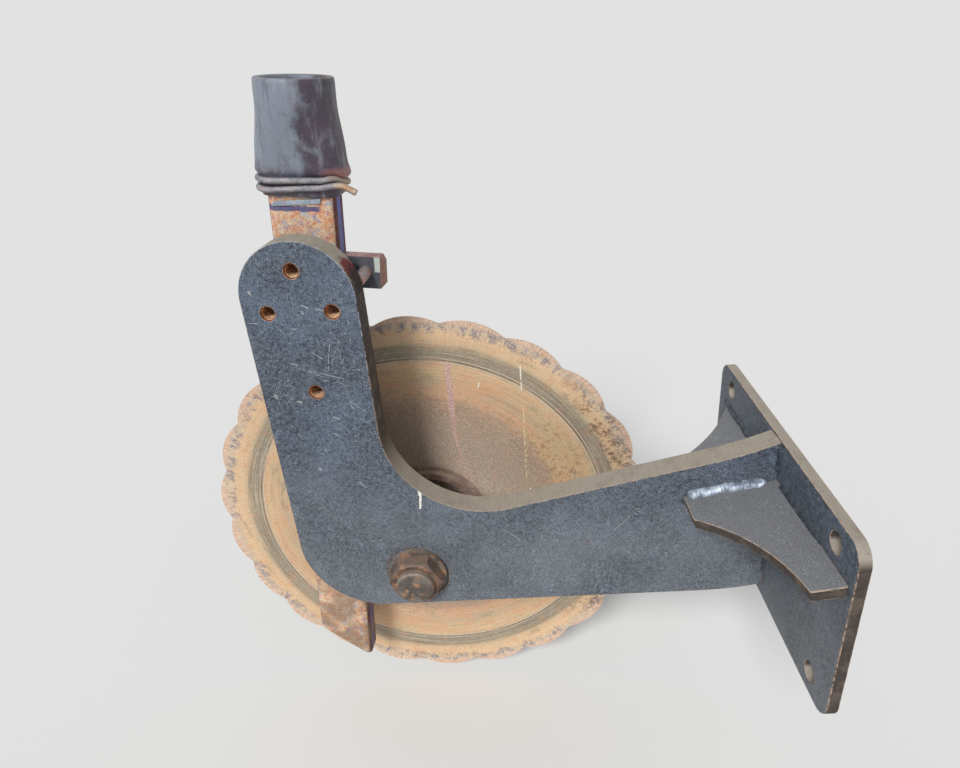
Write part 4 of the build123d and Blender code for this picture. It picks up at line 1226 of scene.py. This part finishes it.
def make_wires(colours, sizes):
    """Two tie wires round the cuff's foot: the lower one ends in a bent-out cut end."""
    material = wire_finish(colours)
    gap = sizes.wire_radius / MM
    waist_x, waist_y, corner = 34.7, 19.7, 14.6
    half_x, half_y = waist_x + gap, waist_y + gap
    # A handle this long makes a quarter circle
    bow = 0.5523 * corner
    # Lengths of the free end's handles, and the share of a rise that a handle follows
    short, long, follow = 0.22, 0.3, 0.15
    route = (
        # place, direction of travel, handle before, handle after
        ((half_x - corner, -half_y), (-1, 0), 5, 12),
        ((corner - half_x, -half_y), (-1, 0), 12, bow),
        ((-half_x, corner - half_y), (0, 1), bow, 3),
        ((-half_x, half_y - corner), (0, 1), 3, bow),
        ((corner - half_x, half_y), (1, 0), bow, 12),
        ((half_x - corner, half_y), (1, 0), 12, bow),
        ((half_x, half_y - corner), (0, -1), bow, 3),
        ((half_x, -1), (0, -1), 3, 0),
    )
    table = (
        # name, levels along the route, start as points off the front right, thickness of the last tip
        ("lower", (89.4, 86.2, 87.2, 88.4, 88.8, 89, 89.8, 91.6), ((54.3, -23, 86.9), (41.4, -23, 92)), 1),
        (
            "upper",
            (95.6, 94, 95.2, 96.6, 97, 97.2, 97.4),
            ((37.4, -1, 91.6), (37.1, -9.2, 94), (32.6, -18.4, 96.7)),
            0.5,
        ),
    )
    for name, levels, free, end_tip in table:
        last = len(levels) - 1
        bends = []
        points = [tube_point(*point) for point in free] + [tube_point(*route[0][0], levels[0])]
        for index, here in enumerate(points[:-1]):
            before, after = points[max(index - 1, 0)], points[index + 1]
            lean = (after - before).normalized() if index else Vector()
            coming = here - lean * (here - before).length * short
            bends.append((here, coming, here + lean * (after - here).length * long, 1))
        for index, (((x, y), (dx, dy), before, after), t) in enumerate(zip(route, levels)):
            slope = (levels[min(index + 1, last)] - levels[max(index - 1, 0)]) * follow
            back = tube_point(x - dx * before, y - dy * before, t - slope)
            ahead = tube_point(x + dx * after, y + dy * after, t + slope)
            bends.append((tube_point(x, y, t), back, ahead, end_tip if index == last else 1))
        piece = bent_wire("tie_wire_" + name, bends, sizes.wire_radius, material)
        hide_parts("clamp_wire_" + name)


def make_band(colours):
    """The flat end of a steel band on the tube's front, just under the cuff."""
    half_sizes, edge_round = (22.0, 0.6, 2.3), 0.25
    right, across, up = -2.4, -16.6, 74.9
    slant, rise, curl, curl_start, curl_run = 0.35, 0.09, -0.9, 10, 12
    bm = bmesh.new()
    made = bmesh.ops.create_cube(bm, size=2.0)
    bmesh.ops.scale(bm, vec=half_sizes, verts=made["verts"])
    long_edges = [edge for edge in bm.edges if abs(edge.verts[0].co.x - edge.verts[1].co.x) > 1]
    bmesh.ops.subdivide_edges(bm, edges=long_edges, cuts=9, use_grid_fill=True)
    rounded = {"offset_type": "OFFSET", "affect": "EDGES", "profile": 0.5, "clamp_overlap": True}
    bmesh.ops.bevel(bm, geom=bm.edges[:], offset=edge_round, segments=2, material=-1, **rounded)
    for vert in bm.verts:
        x, y, z = vert.co
        lift = curl * max(0.0, (x - curl_start) / curl_run) ** 2
        vert.co = tube_point(x + right + slant * z, y + across + lift, up + z + rise * x)
    frame_of_band = (TUBE_ORIGIN, ARM_FRAME[1])
    material = iron_finish("band_steel", frame_of_band, colours, (140, 152, 166), (186, 197, 206), 0.1)
    new_piece("foot_band", bm, material)


# Stage


def make_floor(colours, sizes):
    low = CAD_BOX[0].z - sizes.floor_gap
    bm = bmesh.new()
    bmesh.ops.create_grid(bm, x_segments=2, y_segments=2, size=400, matrix=Matrix.Translation((0, 0, low)))
    mesh = bpy.data.meshes.new("floor")
    bm.to_mesh(mesh)
    bm.free()
    floor = bpy.data.objects.new("floor", mesh)
    bpy.context.scene.collection.objects.link(floor)
    mesh.materials.append(Finish("floor_pale").wear(colours.floor, 0.9, specular=0))


def make_lights(light, colours):
    """A soft sun from the front and above, and a pale surround that looks as the floor going on."""
    toward_sun = (ALONG * -0.22 + ACROSS * -0.72 + UP * 0.66).normalized()
    sky_colour = [0.96, 0.98, 1.0]
    level_light = [light.sun * toward_sun.z / math.pi + light.sky * part for part in sky_colour]
    world = bpy.data.worlds.new("surround")
    bpy.context.scene.world = world
    world.use_nodes = True
    work = Nodes(world.node_tree)
    work.tree.nodes.clear()
    rays = work.add("LightPath").outputs
    seen = work.calc("MAXIMUM", rays["Is Camera Ray"], rays["Is Glossy Ray"])
    seen = work.calc("MAXIMUM", seen, rays["Is Transmission Ray"])
    backdrop = [albedo * lit for albedo, lit in zip(colours.floor, level_light)]
    shown = work.blend(seen, sky_colour, backdrop)
    strength = work.level(seen, light.sky, 1.0)
    background = work.add("Background", {"Color": shown, "Strength": strength})
    work.tree.links.new(background.outputs[0], work.add("OutputWorld").inputs[0])
    lamp = bpy.data.lights.new("sun", "SUN")
    lamp.energy = light.sun
    lamp.angle = light.softness
    holder = bpy.data.objects.new("sun", lamp)
    holder.rotation_mode = "QUATERNION"
    holder.rotation_quaternion = toward_sun.to_track_quat("Z", "Y")
    bpy.context.scene.collection.objects.link(holder)


def make_camera(light):
    """The camera at the photograph's own place, turned so that the whole unit is in view."""
    place = (170.2, 506.2, -541.9)
    yaw, pitch, roll = math.radians(-9.0), math.radians(27.0), 0.085
    ahead = (ALONG * math.sin(yaw) + ACROSS * math.cos(yaw)) * math.cos(pitch) - UP * math.sin(pitch)
    level_right = ALONG * math.cos(yaw) - ACROSS * math.sin(yaw)
    level_down = ahead.cross(level_right)
    right = level_right * math.cos(roll) + level_down * math.sin(roll)
    down = level_down * math.cos(roll) - level_right * math.sin(roll)
    basis = Matrix((right, -down, -ahead)).transposed().to_4x4()
    basis.translation = arm_point(*place)
    camera = bpy.data.cameras.new("camera")
    camera.sensor_width = 36
    camera.lens = light.focal
    camera.clip_start = 0.01
    holder = bpy.data.objects.new("camera", camera)
    holder.matrix_world = basis
    bpy.context.scene.collection.objects.link(holder)
    bpy.context.scene.camera = holder


# Operators


class PieceOperator:
    """Runs one builder with the scene's settings."""

    def execute(self, context):
        self.build(context.scene.opener_colours, context.scene.opener_sizes)
        return {"FINISHED"}


class OPENER_OT_plates(PieceOperator, bpy.types.Operator):
    """Paint, cut edges and worn lines of the arm, its flange and its gussets"""

    bl_idname = "opener.plates"
    bl_label = "Arm, flange and gussets"

    def build(self, colours, sizes):
        quarter = math.radians(90)
        flange_out = Vector((1, 0, 0))
        dress("arm_plate", plate_finish("arm_paint_worn", ACROSS, colours, arm_marks))
        dress("end_flange", plate_finish("flange_paint_worn", flange_out, colours, lay=(0, 0, quarter)))
        gusset = plate_finish("gusset_paint_worn", GUSSET_TOP, colours, settled=0.85, lay=(quarter, 0, 0))
        for node in ("gusset_open_side", "gusset_disc_side"):
            dress(node, gusset)
        for node in ("arm_plate", "end_flange", "gusset_open_side", "gusset_disc_side"):
            round_edges(node, sizes.edge_round)


class OPENER_OT_welds(PieceOperator, bpy.types.Operator):
    """Weld beads between the arm, its flange, the gussets, the lug and the stay"""

    bl_idname = "opener.welds"
    bl_label = "Weld beads"

    def build(self, colours, sizes):
        make_welds(sizes)


class OPENER_OT_threads(PieceOperator, bpy.types.Operator):
    """Screw threads in the four holes of the arm's head"""

    bl_idname = "opener.threads"
    bl_label = "Hole threads"

    def build(self, colours, sizes):
        make_threads(sizes)


class OPENER_OT_disc(PieceOperator, bpy.types.Operator):
    """Soil-worn finish of the scalloped disc"""

    bl_idname = "opener.disc"
    bl_label = "Disc"

    def build(self, colours, sizes):
        dress("disc", disc_finish(colours))


class OPENER_OT_hub(PieceOperator, bpy.types.Operator):
    """Rusty iron of the hub, its collar, cap, bolts and nuts, and of the spindle"""

    bl_idname = "opener.hub"
    bl_label = "Hub and spindle"

    def build(self, colours, sizes):
        bolts = ["disc_bolts", "disc_nuts", "spindle_nut", "lug_nut"]
        for name, dark, pale, dusty, nodes in (
            ("collar_iron", (158, 132, 120), (196, 170, 156), 0.6, ["hub_collar"]),
            ("hub_iron_rusted", (74, 60, 54), (108, 86, 74), 0.4, ["hub_body", "hub_cap"]),
            ("bolt_steel_rusted", (88, 68, 60), (122, 98, 84), 0.4, bolts),
            ("spindle_steel", (84, 78, 74), (126, 118, 110), 0.5, ["spindle", "spindle_washer"]),
        ):
            finish = iron_finish(name, DISC_FRAME, colours, dark, pale, dusty)
            for node in nodes:
                dress(node, finish)


class OPENER_OT_tube(PieceOperator, bpy.types.Operator):
    """Blue paint and rust of the seed tube, its lug, pin and stay"""

    bl_idname = "opener.tube"
    bl_label = "Seed tube, lug and pin"

    def build(self, colours, sizes):
        dress("seed_tube", tube_finish(colours))
        dress("tube_lug", lug_finish())
        dress("lug_pin", pin_finish())
        dress("tube_stay", plate_finish("stay_paint_worn", ACROSS, colours))


class OPENER_OT_cuff(PieceOperator, bpy.types.Operator):
    """Rubber cuff on the tube's top"""

    bl_idname = "opener.cuff"
    bl_label = "Rubber cuff"

    def build(self, colours, sizes):
        make_cuff(colours, sizes)


class OPENER_OT_wires(PieceOperator, bpy.types.Operator):
    """Two tie wires and the flat band under the cuff"""

    bl_idname = "opener.wires"
    bl_label = "Tie wires and band"

    def build(self, colours, sizes):
        make_wires(colours, sizes)
        make_band(colours)


class OPENER_OT_stage(PieceOperator, bpy.types.Operator):
    """Floor, lamps and camera"""

    bl_idname = "opener.stage"
    bl_label = "Stage"

    def build(self, colours, sizes):
        scene = bpy.context.scene
        scene.view_settings.view_transform = "Standard"
        make_floor(colours, sizes)
        make_lights(scene.opener_light, colours)
        make_camera(scene.opener_light)


PART_OPERATORS = (
    OPENER_OT_plates,
    OPENER_OT_welds,
    OPENER_OT_threads,
    OPENER_OT_disc,
    OPENER_OT_hub,
    OPENER_OT_tube,
    OPENER_OT_cuff,
    OPENER_OT_wires,
    OPENER_OT_stage,
)


class OPENER_PT_parts(bpy.types.Panel):
    """Lists the opener's pieces and their settings"""

    bl_idname = "OPENER_PT_parts"
    bl_label = "Disc opener"
    bl_space_type = "VIEW_3D"
    bl_region_type = "UI"
    bl_category = "Opener"

    def draw(self, context):
        layout, scene = self.layout, context.scene
        for operator in PART_OPERATORS:
            layout.operator(operator.bl_idname)
        for settings in (scene.opener_colours, scene.opener_sizes, scene.opener_light):
            box = layout.box()
            for name in settings.bl_rna.properties.keys():
                if name not in ("rna_type", "name"):
                    box.prop(settings, name)


CLASSES = (OpenerColours, OpenerSizes, OpenerLight, *PART_OPERATORS, OPENER_PT_parts)


def register():
    for made in CLASSES:
        bpy.utils.register_class(made)
    bpy.types.Scene.opener_colours = PointerProperty(type=OpenerColours)
    bpy.types.Scene.opener_sizes = PointerProperty(type=OpenerSizes)
    bpy.types.Scene.opener_light = PointerProperty(type=OpenerLight)


def unregister():
    del bpy.types.Scene.opener_light
    del bpy.types.Scene.opener_sizes
    del bpy.types.Scene.opener_colours
    for made in reversed(CLASSES):
        bpy.utils.unregister_class(made)


def main():
    """Builds every piece in order."""
    register()
    bpy.ops.opener.plates()
    bpy.ops.opener.welds()
    bpy.ops.opener.threads()
    bpy.ops.opener.disc()
    bpy.ops.opener.hub()
    bpy.ops.opener.tube()
    bpy.ops.opener.cuff()
    bpy.ops.opener.wires()
    bpy.ops.opener.stage()
    bpy.context.view_layer.update()


if __name__ == "__main__":
    main()
